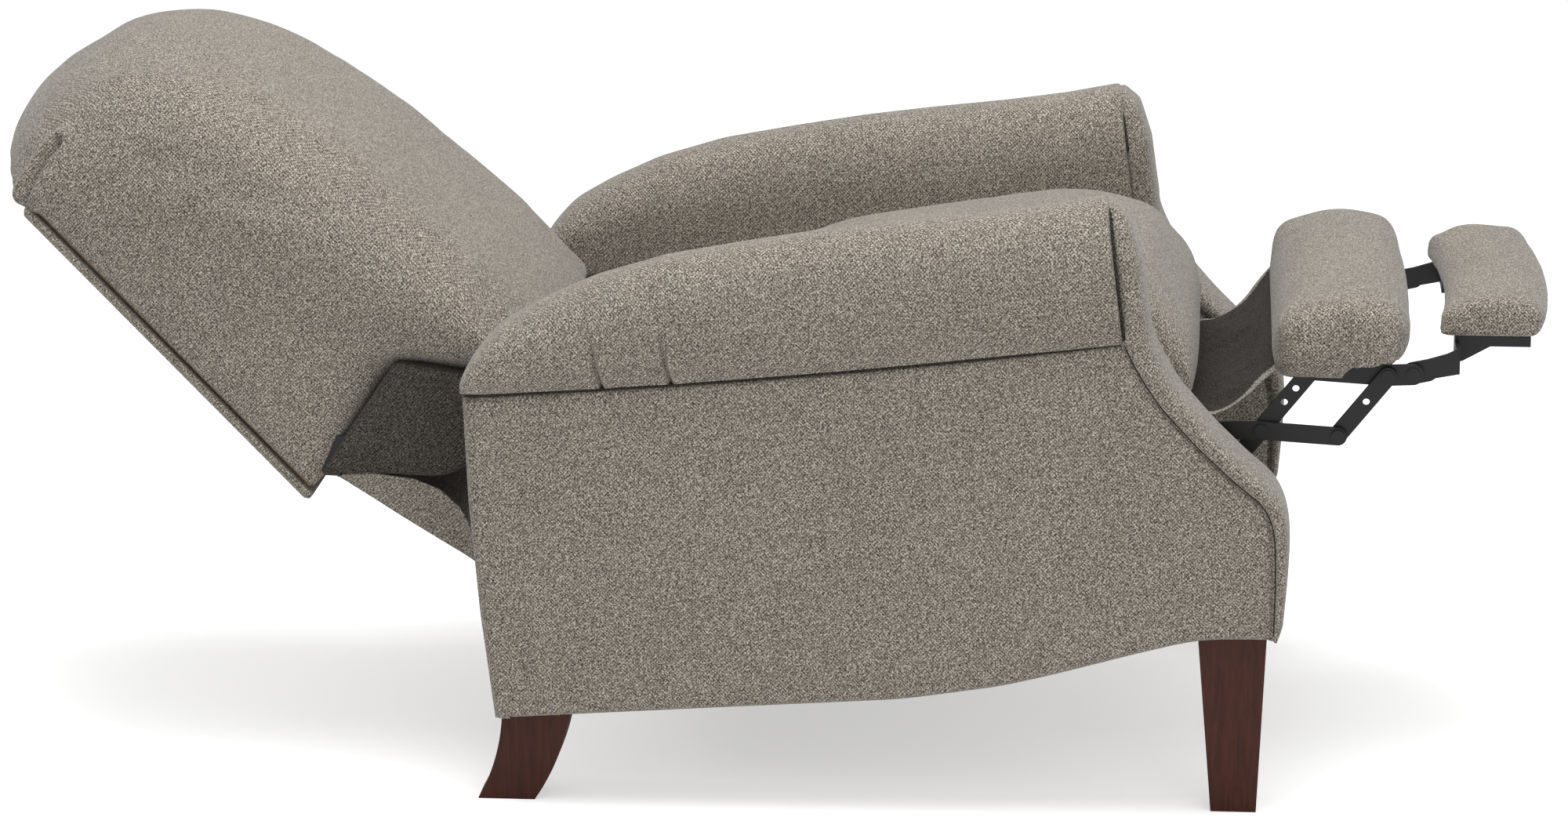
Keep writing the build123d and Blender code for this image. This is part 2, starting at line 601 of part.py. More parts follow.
def bracket_outline(grow):
    """Back bracket in side view: up the post and forward to the pivot."""
    depth = FRAME_REAR + BACK_FRAME / 2
    return strip(BRACKET_WIDTH + 2 * grow, back_point(-150, depth), back_point(-30, depth), BACK_PIVOT)


def bracket_slots():
    """The room that the soft parts leave around the brackets."""
    return both(slab(bracket_outline(BRACKET_GAP), MAIN_LAYER[0] - POST_GAP, MAIN_LAYER[1] + POST_GAP))


def back_section(y, arch, sink, draw):
    """Back cushion in side view at one distance from the middle."""
    top = -BACK_LENGTH - arch
    deep = BACK_DEEP + BACK_CROWN - sink
    outline = [
        ((0, 0), 12),
        ((top + draw * 0.4, 0), 26),
        ((top - 24 + draw, deep * 0.2), 40),
        ((top - 10 + draw, deep * 0.5), 55),
        ((top + 155, deep * 0.85), 150),
        ((-40, deep), 70),
        ((57, deep * 0.93), 16),
        ((46, deep * 0.8), 16),
        (BACK_NOTCH, 12),
    ]
    points = [back_point(*point) for point, _ in outline]
    face = make_face(FilletPolyline(*points, radius=[radius for _, radius in outline], close=True))
    return Plane.XZ.offset(-y) * face


def back_cushion():
    """Wedge-shaped back cushion with a domed top, wrapped around the frame and open to the rear."""
    steps = [(0, 1, 0, 0), (0.4, 0.84, 0.06, 0), (0.75, 0.46, 0.3, 0.1)]
    steps += [(0.94, 0.1, 0.65, 0.5), (1, 0, 1, 1)]
    rows = [(-part, *rest) for part, *rest in reversed(steps[1:])] + steps
    form = loft([back_section(part * BACK_HALF, arch * BACK_ARCH, sink * 55, draw * 22)
                 for part, arch, sink, draw in rows])
    deep = FRAME_FACE + STRAP_THICK + CUSHION_GAP
    length = FRAME_LENGTH + CUSHION_GAP
    corners = [back_point(s, n) for s, n in ((-length, -20), (40, -20), (40, deep), (-length, deep))]
    half = BACK_HALF - BACK_RIM + CUSHION_GAP
    form -= slab(polygon(*corners), -half, half)
    for slot in bracket_slots():
        form -= slot
    keep("back_cushion", form)


def back_skirts():
    """Lower inside back below the cushion, and the apron cloth between back and rear rail."""
    bottom = back_point(0, 6)
    notch = back_point(*BACK_NOTCH)
    front = REAR_RAIL_BACK - 6
    corners = [(bottom[0] + 24, bottom[1] + 24), (notch[0] + 1, notch[1] - 4), (front, notch[1] - TUCK),
               (front, BACK_PIVOT[1] - 11), (ARM_REAR - 40, bottom[1] + 14),
               (bottom[0] + 46, bottom[1] + 22)]
    tail = slab(polygon(*corners, radius=4), 5 - BACK_HALF, BACK_HALF - 5)
    for slot in bracket_slots():
        tail -= slot
    deep = FRAME_FACE + STRAP_THICK + CUSHION_GAP
    frame = [back_point(s, n) for s, n in ((-60, -20), (0, -20), (0, deep), (-60, deep))]
    tail -= slab(polygon(*frame), CUSHION_GAP + 5 - BACK_HALF, BACK_HALF)
    keep("lower_inside_back", tail)
    edge = REAR_RAIL_BACK - HEAD_GAP
    points = [(edge, HEEL_HEIGHT + 10), (edge - 18, SEAM_REAR - 195), (bottom[0] + 34, bottom[1] + 18)]
    rear = [(x - APRON, z - APRON / 2) for x, z in reversed(points)]
    radii = [0, 40, 0, 0, 40, 0]
    keep("rear_apron", slab(polygon(*points, *rear, radius=radii), -APRON_HALF, APRON_HALF))


def leg_links():
    """The four flat links of each side's leg-rest linkage with their rivets."""
    main = strip(LINK_WIDTH, MAIN_PIVOT, MAIN_BEND, CROSSING, CARRIER_FOOT)
    main -= holes(PIN_R + FIT, MAIN_PIVOT)
    main -= holes(RIVET_R + FIT, CROSSING, CARRIER_FOOT)
    keep_pair("main_link", slab(main, *MAIN_LAYER))
    lift = strip(LINK_WIDTH, LIFT_END, PAD_PIVOT)
    lift -= holes(RIVET_R + FIT, PAD_PIVOT)
    lift -= holes(RIVET_R - 0.5, along(CROSSING, 36, LIFT_ANGLE), along(CROSSING, 54, LIFT_ANGLE))
    lift = slab(lift, *LIFT_LAYER) + outer_rivet(CROSSING) + end_rivet(LIFT_END)
    keep_pair("lift_link", lift)
    carrier = strip(LINK_WIDTH, CARRIER_FOOT, CARRIER_TOP)
    carrier -= holes(RIVET_R + FIT, CARRIER_TOP)
    carrier -= holes(RIVET_R - 0.5, along(CARRIER_FOOT, 44, LIFT_ANGLE))
    keep_pair("carrier_link", slab(carrier, *LIFT_LAYER) + outer_rivet(CARRIER_FOOT))
    control = strip(CONTROL_WIDTH, CONTROL_PIVOT, LIFT_END)
    control -= holes(PIN_R + FIT, CONTROL_PIVOT)
    keep("control_links", *both(slab(control, *PAD_LAYER)))


def outer_rivet(point):
    """Rivet fixed in a lift-layer link, through the main link, with its head outside."""
    shank = disc(point, RIVET_R, LIFT_LAYER[1], MAIN_LAYER[1] + HEAD_GAP)
    head = disc(point, HEAD_R, MAIN_LAYER[1] + HEAD_GAP, MAIN_LAYER[1] + HEAD_GAP + 2.4)
    return shank + head


def end_rivet(point):
    """Rivet head on the outside of a lift-layer link."""
    return disc(point, HEAD_R, LIFT_LAYER[1], LIFT_LAYER[1] + 1.4)


def leg_rest():
    """Brackets, board and padded top of the leg rest."""
    under = PAD_BOARD_UNDER
    bracket = strip(LINK_WIDTH + 3, PAD_PIVOT, CARRIER_TOP, FOOT_PIVOT)
    bracket += polygon((PAD_PIVOT[0] - 10, PAD_PIVOT[1]), (CARRIER_TOP[0] - 6, CARRIER_TOP[1]),
                       (CARRIER_TOP[0] - 10, under), (PAD_PIVOT[0] - 22, under))
    plate = slab(bracket, *PAD_LAYER)
    plate += box((PAD_PIVOT[0] - 22, CARRIER_TOP[0] - 10), (PAD_LAYER[0] - 24, PAD_LAYER[1]),
                 (under - FLANGE, under))
    head = LIFT_LAYER[1] + HEAD_GAP
    for spot in (PAD_PIVOT, CARRIER_TOP):
        plate += disc(spot, RIVET_R, PAD_LAYER[1], head) + disc(spot, HEAD_R, head, head + 1.3)
    low = FOOT_LAYER[0] - HEAD_GAP
    plate += disc(FOOT_PIVOT, RIVET_R, low, PAD_LAYER[0]) + disc(FOOT_PIVOT, HEAD_R, low - 2, low)
    plate += disc(FOOT_PIVOT, HEAD_R, PAD_LAYER[1], PAD_LAYER[1] + 1.4)
    keep_pair("leg_rest_bracket", plate)
    board = ((PAD_BACK + 14, PAD_FRONT - 24), (PAD_WALL + 4 - PAD_HALF, PAD_HALF - PAD_WALL - 4),
             (under, under + PAD_BOARD))
    keep("leg_rest_board", box(*board))
    steps = [(0, 0, 0), (0.55, 0.1, 0), (0.85, 0.4, 0.2), (0.97, 0.7, 0.6), (1, 1, 1)]
    rows = [(-part, sink, draw) for part, sink, draw in reversed(steps[1:])] + steps
    form = loft([pad_section(part * PAD_HALF, sink * 24, draw * 9) for part, sink, draw in rows])
    half = PAD_HALF - PAD_WALL
    gap = CUSHION_GAP
    form -= box((board[0][0] - gap, board[0][1] + gap), (-half, half), (PAD_BOTTOM - 20, board[2][1] + gap))
    nose = (FOOT_LAYER[0] - 4, LIFT_LAYER[1] + 6)
    for slot in both(box((board[0][1] - 1, PAD_FRONT + 20), nose, (PAD_BOTTOM - 20, FOOT_PIVOT[1] + 16))):
        form -= slot
    keep("leg_rest_pad", form)


def pad_section(y, sink, draw):
    """Leg-rest pad in side view at one distance from the middle; the front edge bows forward."""
    bow = 10 * (1 - (y / PAD_HALF) ** 2) - 10
    scale = 1 - sink / (PAD_TOP - PAD_BOTTOM)
    points = [
        (PAD_BACK + 1 + draw, PAD_BOTTOM + draw * 0.3),
        (PAD_FRONT - 34 + bow - draw, PAD_BOTTOM + draw * 0.3),
        (PAD_FRONT + 2 + bow - draw, PAD_BOTTOM + 34 * scale),
        (PAD_FRONT + bow - draw, PAD_TOP - 8 - sink),
        (PAD_BACK + 65, PAD_TOP + 4 - sink),
        (PAD_BACK + draw, PAD_TOP - 18 - sink),
    ]
    radii = [radius * scale for radius in (14, 40, 20, 24, 90, 22)]
    face = make_face(FilletPolyline(*points, radius=radii, close=True))
    return Plane.XZ.offset(-y) * face


def foot_rest():
    """Cranked brackets, board and pad of the foot rest that flips out beyond the leg rest."""
    under = FOOT_BOTTOM - 1
    x, z = FOOT_PIVOT
    web = (x + FOOT_CRANK - STEEL, x + FOOT_CRANK)
    end = FOOT_FRONT - FOOT_INSET
    iron = (FOOT_HALF - FOOT_IRON, FOOT_HALF - FOOT_INSET)
    arm_face = strip(LINK_WIDTH + 4, FOOT_PIVOT, (x + 14, z + 3))
    arm_face += polygon((x + 4, z - 8), (web[1], z), (web[1], z + 26), (x + 33, z + 20), (x + 10, z + 13))
    arm_face -= holes(RIVET_R + FIT, FOOT_PIVOT)
    bracket = slab(arm_face, *FOOT_LAYER)
    bracket += box(web, (iron[0], FOOT_LAYER[1]), (z, z + 26))
    bracket += box(web, iron, (z + 4, under))
    bracket += box((web[0], end), iron, (under - FLANGE, under))
    lip = polygon((web[0], under), (web[0], z + 4), (web[1] + 4, z + 6),
                  (web[1] + 31, under - FOOT_LIP), (end, under - FOOT_LIP), (end, under))
    bracket += slab(lip, iron[1] - STEEL, iron[1])
    keep_pair("foot_rest_bracket", bracket)
    half = FOOT_HALF - FOOT_INSET - 6
    board = ((FOOT_BACK + 14 + FOOT_BOW / 2, end), (-half, half), (under, under + FOOT_BOARD))
    keep("foot_board", box(*board))
    steps = [(0, 0, 0), (0.55, 0.1, 0), (0.85, 0.35, 0.2), (0.97, 0.7, 0.6), (1, 1, 1)]
    rows = [(-part, sink, draw) for part, sink, draw in reversed(steps[1:])] + steps
    form = loft([foot_section(part * FOOT_HALF, sink * 11, draw * 7) for part, sink, draw in rows])
    gap = CUSHION_GAP
    form -= box((board[0][0] - gap, board[0][1] + gap), (board[1][0] - gap, board[1][1] + gap),
                (under - 20, board[2][1] + gap))
    for slot in both(box((web[0] - 1, end + gap), (iron[0] - 1, FOOT_HALF + 10), (under - 20, under + gap))):
        form -= slot
    keep("foot_pad", form)


def foot_section(y, sink, draw):
    """Foot pad in side view at one distance from the middle; the whole section bows forward."""
    bow = FOOT_BOW * (1 - (y / FOOT_HALF) ** 2)
    scale = 1 - sink / (FOOT_TOP - FOOT_BOTTOM)
    points = [
        (FOOT_BACK + bow + draw, FOOT_BOTTOM + draw * 0.4),
        (FOOT_FRONT + bow - draw, FOOT_BOTTOM + draw * 0.4),
        (FOOT_FRONT + 6 + bow - draw, FOOT_BOTTOM + 22 * scale),
        (FOOT_FRONT - 6 + bow - draw, FOOT_TOP - sink),
        (FOOT_BACK + 40 + bow, FOOT_TOP + 4 - sink),
        (FOOT_BACK + bow + draw, FOOT_TOP - 12 - sink),
    ]
    radii = [radius * scale for radius in (8, 8, 14, 12, 60, 11)]
    face = make_face(FilletPolyline(*points, radius=radii, close=True))
    return Plane.XZ.offset(-y) * face


def build():
    """Make every part, then move all of them so that the chair stands centred over the origin."""
    for make in (arm, leg_parts, base_rails, base_mechanism, swing_links, seat_plates, seat_frame,
                 seat_cushion, front_flap, back_frame, back_cushion, back_skirts, leg_links, leg_rest,
                 foot_rest):
        make()
    boxes = [solid.bounding_box() for solids in PARTS.values() for solid in solids]
    shift = -(min(box.min.X for box in boxes) + max(box.max.X for box in boxes)) / 2
    os.makedirs("parts", exist_ok=True)
    for name, solids in PARTS.items():
        moved = [Pos(shift, 0, 0) * solid for solid in solids]
        export_step(moved[0] if len(moved) == 1 else Compound(children=moved), f"parts/{name}.step")
    print(len(PARTS), "parts, moved along X by", round(shift, 3))


build()
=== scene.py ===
# %% [markdown]
# # A push-back recliner, leaned back with its leg rest out
# The steel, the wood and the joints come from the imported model. This lesson dresses it:
# each padded or sewn piece is worked out as a surface in numpy, the cushions are blown up
# a little with a cloth simulation, and every finish is made of shader nodes.

# %% Load the frame
import json
import bpy
import numpy as np
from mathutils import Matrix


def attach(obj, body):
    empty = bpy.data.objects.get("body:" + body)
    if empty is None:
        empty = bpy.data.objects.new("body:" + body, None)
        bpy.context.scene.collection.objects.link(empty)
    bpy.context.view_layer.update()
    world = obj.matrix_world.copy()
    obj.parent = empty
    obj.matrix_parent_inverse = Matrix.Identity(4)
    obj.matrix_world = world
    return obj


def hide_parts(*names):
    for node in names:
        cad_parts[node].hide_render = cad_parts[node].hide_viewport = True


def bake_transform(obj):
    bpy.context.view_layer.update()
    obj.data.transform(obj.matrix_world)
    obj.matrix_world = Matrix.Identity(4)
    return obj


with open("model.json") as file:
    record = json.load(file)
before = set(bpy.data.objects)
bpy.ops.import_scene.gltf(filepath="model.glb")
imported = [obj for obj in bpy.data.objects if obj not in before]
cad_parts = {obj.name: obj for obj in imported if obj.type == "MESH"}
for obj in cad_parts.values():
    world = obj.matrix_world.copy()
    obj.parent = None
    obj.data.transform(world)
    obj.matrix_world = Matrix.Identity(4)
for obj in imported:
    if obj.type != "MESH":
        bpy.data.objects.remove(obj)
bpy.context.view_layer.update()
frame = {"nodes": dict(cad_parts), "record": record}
nodes = frame["nodes"]
scene = bpy.context.scene
MM = 0.001

# %% [markdown]
# ## From arrays to meshes
# Every new piece is a grid of points: rows one way, columns the other. Two helpers turn such
# a grid into faces, one for tubes that close round their columns and one for open sheets.

# %% Grid helpers
END_SHRINK = np.array([0.97, 0.85, 0.5, 0.04])  # the rings that close a tube's end


def put_mesh(name, points, faces):
    """A new object with these points (metres) and faces, smooth shaded, at the origin."""
    mesh = bpy.data.meshes.new(name)
    mesh.from_pydata(np.asarray(points, float).reshape(-1, 3).tolist(), [], faces)
    mesh.update()
    mesh.polygons.foreach_set("use_smooth", np.ones(len(mesh.polygons), bool))
    piece = bpy.data.objects.new(name, mesh)
    scene.collection.objects.link(piece)
    return piece


def grid_faces(rows, columns, wrap):
    """Quads between neighbouring rows and columns; wrap joins the last column to the first."""
    index = np.arange(rows * columns).reshape(rows, columns)
    right = np.roll(index, -1, axis=1)
    quads = np.stack([index[:-1], right[:-1], right[1:], index[1:]], axis=-1)
    if not wrap:
        quads = quads[:, :-1]
    return quads.reshape(-1, 4).tolist()


def tube(name, rings):
    """A closed tube: rings (rows, columns, 3), each joined to the next. Both ends are closed by
    rings that shrink to the middle, so the flat ends shade evenly."""
    shrink = END_SHRINK[:, None, None]
    first, last = rings[0], rings[-1]
    start = (first.mean(axis=0) + (first - first.mean(axis=0)) * shrink)[::-1]
    finish = last.mean(axis=0) + (last - last.mean(axis=0)) * shrink
    rings = np.concatenate([start, rings, finish])
    rows, columns = rings.shape[:2]
    faces = grid_faces(rows, columns, True)
    faces.append(list(range(columns))[::-1])
    faces.append(list(range((rows - 1) * columns, rows * columns)))
    piece = put_mesh(name, rings, faces)
    face_outwards(piece)
    return piece


def face_outwards(piece):
    """Turns all faces outwards when the signed volume under them is negative."""
    mesh = piece.data
    mesh.calc_loop_triangles()
    corners = np.zeros(len(mesh.loop_triangles) * 3, np.int32)
    mesh.loop_triangles.foreach_get("vertices", corners)
    a, b, c = points_of(piece)[corners.reshape(-1, 3)].transpose(1, 0, 2)
    if np.einsum("ij,ij->i", a, np.cross(b, c)).sum() < 0:
        mesh.flip_normals()


def vectors(items, key):
    """One vector of each item of a mesh, as an array (n, 3)."""
    flat = np.zeros(len(items) * 3)
    items.foreach_get(key, flat)
    return flat.reshape(-1, 3)


def points_of(piece):
    """The vertices of a piece as an array (n, 3)."""
    return vectors(piece.data.vertices, "co")


def move_points(piece, points):
    """Writes new places for all vertices."""
    piece.data.vertices.foreach_set("co", np.asarray(points, float).ravel())
    piece.data.update()


print("a tube of 3 rings of 4 points has", len(grid_faces(3, 4, True)), "side faces")

# %% [markdown]
# ## Side outlines
# A chair maker draws a cushion from the side. Here an outline is a few corners with a radius
# each; the corner is swapped for a quadratic curve, and the ring is then spaced evenly.

# %% Rounded outlines
def rounded(corners, radii, count):
    """Closed outlines (rows, count, 2) from corners (rows, k, 2) and radii (k,).
    Each corner becomes a quadratic curve that starts and ends radius / tan(half angle) away."""
    before = np.roll(corners, 1, axis=1) - corners
    after = np.roll(corners, -1, axis=1) - corners
    length_b = np.linalg.norm(before, axis=2)
    length_a = np.linalg.norm(after, axis=2)
    before /= length_b[..., None]
    after /= length_a[..., None]
    half = np.arccos(np.clip((before * after).sum(2), -0.9999, 0.9999)) / 2
    cut = np.minimum(np.asarray(radii) / np.tan(half), 0.48 * np.minimum(length_a, length_b))
    start = corners + before * cut[..., None]
    end = corners + after * cut[..., None]
    t = np.linspace(0, 1, 11)[:, None]
    arcs = (start[:, :, None] * (1 - t) ** 2 + 2 * corners[:, :, None] * t * (1 - t)
            + end[:, :, None] * t ** 2)
    ring = arcs.reshape(len(corners), -1, 2)
    step = np.linalg.norm(np.roll(ring, -1, axis=1) - ring, axis=2).mean(axis=0)
    run = np.concatenate([[0], np.cumsum(step)])
    place = np.interp(np.arange(count) / count * run[-1], run, np.arange(len(run)))
    low = place.astype(int)
    part = (place - low)[None, :, None]
    return ring[:, low] * (1 - part) + ring[:, (low + 1) % ring.shape[1]] * part


def ring_normals(ring):
    """Unit normals of closed outlines that point outwards, whichever way the ring runs."""
    along = np.roll(ring, -1, axis=1) - np.roll(ring, 1, axis=1)
    along /= np.linalg.norm(along, axis=2, keepdims=True) + 1e-9
    normal = np.stack([along[..., 1], -along[..., 0]], axis=-1)
    nxt = np.roll(ring, -1, axis=1)
    area = (ring[..., 0] * nxt[..., 1] - ring[..., 1] * nxt[..., 0]).sum(axis=1)
    return normal * np.sign(area)[:, None, None]


def side_outline(v, corners, count, place=lambda a, b: np.stack([a, b], axis=-1)):
    """Rounded side outlines, one for each v. The corners are (a, b, radius), where a and b are
    numbers or arrays over v; place turns them into points (x, z)."""
    a = np.stack([corner[0] + 0 * v for corner in corners], axis=1)
    b = np.stack([corner[1] + 0 * v for corner in corners], axis=1)
    return rounded(place(a, b), [corner[2] for corner in corners], count)


def stuffed(name, outline, half, end, inset, flat_rows=44, rim_rows=12):
    """A cushion across the chair: outline(v) gives the side rings at v = y / half.
    Over the last `end` of the width the rings shrink along their normals by an ellipse,
    inset(ring) says how far at each point."""
    phi = np.linspace(0, np.pi / 2, rim_rows)[1:]
    flat = np.linspace(-(half - end), half - end, flat_rows)
    rim = half - end + end * np.sin(phi)
    y = np.concatenate([-rim[::-1], flat, rim])
    shrink = np.concatenate([(1 - np.cos(phi))[::-1], 0 * flat, 1 - np.cos(phi)])
    ring = outline(y / half)
    ring = ring - ring_normals(ring) * (shrink[:, None] * inset(ring))[..., None]
    across = np.broadcast_to(y[:, None], ring.shape[:2])
    return tube(name, np.stack([ring[..., 0], across, ring[..., 1]], axis=-1) * MM)


# %% Curves and steps
def run_along(points):
    """How far along a line each of its points lies."""
    return np.concatenate([[0], np.cumsum(np.linalg.norm(np.diff(points, axis=0), axis=1))])


def tangents(line):
    """Unit vectors along a line of points."""
    along = np.gradient(line, axis=0)
    return along / np.linalg.norm(along, axis=1, keepdims=True)


def smooth_line(points, count):
    """An even run of points along a curve through the given ones, its corners smoothed."""
    run = run_along(points)
    fine = np.linspace(0, run[-1], 400)
    line = np.stack([np.interp(fine, run, points[:, k]) for k in range(points.shape[1])], axis=1)
    kernel = np.hanning(41)
    kernel /= kernel.sum()
    padded = np.concatenate([2 * line[0] - line[20:0:-1], line, 2 * line[-1] - line[-2:-22:-1]])
    line = np.stack([np.convolve(padded[:, k], kernel, "valid") for k in range(points.shape[1])], axis=1)
    run = run_along(line)
    even = np.linspace(0, run[-1], count)
    return np.stack([np.interp(even, run, line[:, k]) for k in range(points.shape[1])], axis=1)


def step_up(value):
    """0 below 0, 1 above 1 and a smooth S between: t t (3 - 2 t)."""
    t = np.clip(value, 0, 1)
    return t * t * (3 - 2 * t)


def quarter_circle(part):
    """0 below 0 and 1 above 1, between them ever steeper like a quarter circle: 1 - sqrt(1 - t^2)."""
    return 1 - np.sqrt(1 - np.clip(part, 0, 1) ** 2)


def superellipse(angle, power):
    """The cosine and the sine, each raised to 2 / power with its sign kept."""
    return [np.sign(part) * np.abs(part) ** (2 / power) for part in (np.cos(angle), np.sin(angle))]


print("half way, the S is at", step_up(0.5), "and the quarter circle at", quarter_circle(0.5).round(3))

# %% [markdown]
# ## Blowing the cushions up
# Foam under a sewn cover pushes the cloth out between the seams. Blender's Cloth with some
# air pressure does the same: the piece is remeshed evenly, inflated for a few frames, and no
# point may move further than a cap. What lies on the frame is pinned.

# %% Cloth inflation
def take_modifiers(piece):
    """Bakes the modifiers into the mesh and removes them."""
    graph = bpy.context.evaluated_depsgraph_get()
    graph.update()
    mesh = bpy.data.meshes.new_from_object(piece.evaluated_get(graph))
    piece.modifiers.clear()
    old = piece.data
    piece.data = mesh
    mesh.name = piece.name
    bpy.data.meshes.remove(old)
    mesh.polygons.foreach_set("use_smooth", np.ones(len(mesh.polygons), bool))


def inflate(piece, voxel, cap, pinned, finer=0, pressure=4.0, frames=20):
    """Remesh, inflate with Cloth, cap each point's way at `cap` metres, then smooth and subdivide."""
    even = piece.modifiers.new("even", "REMESH")
    even.mode = "VOXEL"
    even.voxel_size = voxel
    take_modifiers(piece)
    rest = points_of(piece)
    hold = pinned(rest / MM)
    group = piece.vertex_groups.new(name="hold")
    group.add(np.nonzero(hold)[0].tolist(), 1.0, "REPLACE")
    cloth = piece.modifiers.new("cloth", "CLOTH")
    cloth.settings.quality = 4
    cloth.settings.use_pressure = True
    cloth.settings.uniform_pressure_force = pressure
    cloth.settings.vertex_group_mass = "hold"
    cloth.settings.effector_weights.gravity = 0
    cloth.collision_settings.use_collision = False
    cloth.point_cache.frame_start = 1
    cloth.point_cache.frame_end = frames
    for number in range(1, frames + 1):
        scene.frame_set(number)
    graph = bpy.context.evaluated_depsgraph_get()
    blown = bpy.data.meshes.new_from_object(piece.evaluated_get(graph))
    way = vectors(blown.vertices, "co") - rest
    bpy.data.meshes.remove(blown)
    length = np.linalg.norm(way, axis=1, keepdims=True)
    rest = rest + way * (cap * np.tanh(length / cap) / np.maximum(length, 1e-9))
    piece.modifiers.clear()
    piece.vertex_groups.clear()
    scene.frame_set(1)
    move_points(piece, rest)
    soften = piece.modifiers.new("soften", "SMOOTH")
    soften.factor = 0.5
    soften.iterations = 5
    if finer:
        rounder = piece.modifiers.new("rounder", "SUBSURF")
        rounder.levels = rounder.render_levels = finer
    take_modifiers(piece)
    print(piece.name, len(piece.data.vertices), "points after the remesh")


# %% [markdown]
# ## The back
# The back is a deep wedge of foam, domed at the top, thinner towards the headrest. Its side
# outline is drawn along the rear face (s) and off it (n), then turned into the chair.

# %% Back cushion
BACK_CORNER = np.array([-465.0, 284.0])  # lower end of the rear face, x and z
BACK_LEAN = np.radians(45.8)
BACK_RUN = np.array([np.cos(BACK_LEAN), -np.sin(BACK_LEAN)])
BACK_OFF = np.array([np.sin(BACK_LEAN), np.cos(BACK_LEAN)])
BACK_HALF, BACK_DEEP, DOME = 255.0, 281, 58


def back_place(s, n):
    """Points (x, z) of the back from the run along its rear face and the height off it."""
    return np.stack([BACK_CORNER[0] + s * np.cos(BACK_LEAN) + n * np.sin(BACK_LEAN),
                     BACK_CORNER[1] - s * np.sin(BACK_LEAN) + n * np.cos(BACK_LEAN)], axis=-1)


def panel_top(v):
    """Where the outside back ends at the top, along the rear face: an arch of 22 (1 - v^2)."""
    return -402 - 22 * (1 - v ** 2)


def back_outline(v):
    """Side outlines of the back cushion; the dome adds 58 (1 - |v|^2.6) at the top. From the top the
    front runs out in ever flatter steps until it is 281 off the rear face, then straight down."""
    top = -414 - DOME * (1 - np.abs(v) ** 2.6)
    deep = BACK_DEEP - 8 * v ** 2
    rim = panel_top(v)
    corners = [(2, 8.8, 5), (rim + 1, 8.8, 2), (rim - 1, 0.5, 2), (top + 2, 0.5, 20),
               (top - 18, deep * 0.2, 40), (top - 6, deep * 0.52, 60), (top + 34, deep * 0.71, 110),
               (top + 120, deep * 0.845, 220), (top + 250, deep * 0.945, 400), (-40, deep, 70),
               (78, deep - 1, 18), (50, deep * 0.81, 16), (-30, 160, 14)]
    return side_outline(v, corners, 240, back_place)


def back_inset(ring):
    """The front rolls over by 48 mm, the rear edge only by 5."""
    off = (ring - BACK_CORNER) @ BACK_OFF
    return 5 + 43 * np.clip((off - 16) / 120, 0, 1)


back_cushion = stuffed("back_cushion_cover", back_outline, BACK_HALF, end=62.0, inset=back_inset)


def back_rear(points):
    """Pinned: what lies within 14 mm of the rear face, under the cushion or at its front's lower edge."""
    rel = points[:, [0, 2]] - BACK_CORNER
    off, run = rel @ BACK_OFF, rel @ BACK_RUN
    return (off < 14) | (run > np.where(off > 250, 45, -12))


inflate(back_cushion, voxel=8 * MM, cap=7 * MM, pinned=back_rear, finer=1)


# %% Pleats at the top corners
PLEAT_RUN = np.array([-408.0, -415, -420, -420])
PLEAT_OFF = np.array([4.0, 31, 53, 74])
PLEAT_SIDE = np.array([244.0, 242, 238, 230])


def crease(piece, path, width, depth, swell):
    """Presses a line into a mesh. The distance to the line is taken along the surface: on it the
    points go in by depth, and 2.4 widths beside it they swell out."""
    points = points_of(piece) / MM
    normals = vectors(piece.data.vertices, "normal")
    gap = np.full(len(points), 1e3)
    for node in smooth_line(np.array(path, float), 50):
        way = points - node
        off = (way * normals).sum(axis=1)
        beside = np.sqrt(np.maximum((way ** 2).sum(axis=1) - off ** 2, 0))
        gap = np.minimum(gap, np.where(np.abs(off) < 14, beside, 1e3))
    groove = depth * np.exp(-(gap / width) ** 2)
    bank = swell * np.exp(-((gap - 2.4 * width) / (1.3 * width)) ** 2)
    move_points(piece, (points - normals * (groove - bank)[:, None]) * MM)


fold = back_place(PLEAT_RUN, PLEAT_OFF)
for sign in (-1, 1):
    line = np.stack([fold[:, 0], sign * PLEAT_SIDE, fold[:, 1]], axis=1)
    crease(back_cushion, line, width=4.5, depth=11.0, swell=4.0)
print("a pleat in each top corner, from", fold[0].round(), "to", fold[-1].round())

# %% [markdown]
# ## The seat
# The seat swells most behind its front edge, falls towards the back and draws down at the
# sides. Underneath it is hollow over the rails and springs.

# %% Seat cushion
SEAT_HALF, SEAT_LOW, SEAT_RISE, SEAT_SINK = 253.0, 392, 152, 58


def seat_outline(v):
    """Side outlines of the seat; the top sinks by 58 (0.35 v^2 + 0.65 v^10) at the sides."""
    sink = SEAT_SINK * (0.35 * v ** 2 + 0.65 * v ** 10)
    high = SEAT_RISE - sink
    roof = SEAT_LOW + np.where(np.abs(v) < 0.955, 48.0, 0.0)
    corners = [(-188, 397, 8), (-92, 394, 3), (-90, roof, 3), (396, roof, 3), (398, SEAT_LOW, 3),
               (424, 393, 14), (431, SEAT_LOW + 0.37 * high, 60), (389, SEAT_LOW + 0.9 * high, 46),
               (316, SEAT_LOW + high, 150), (60, 504 - sink, 250), (-110, 437, 40), (-188, 422, 8)]
    return side_outline(v, corners, 220)


def seat_rest(points):
    """Pinned: what lies on the frame, lower than 444 and behind the front edge."""
    return (points[:, 2] < 444) & (points[:, 0] < 400)


seat_cushion = stuffed("seat_cushion_cover", seat_outline, SEAT_HALF, end=40.0, inset=lambda ring: 6)
inflate(seat_cushion, voxel=6.5 * MM, cap=7 * MM, pinned=seat_rest)

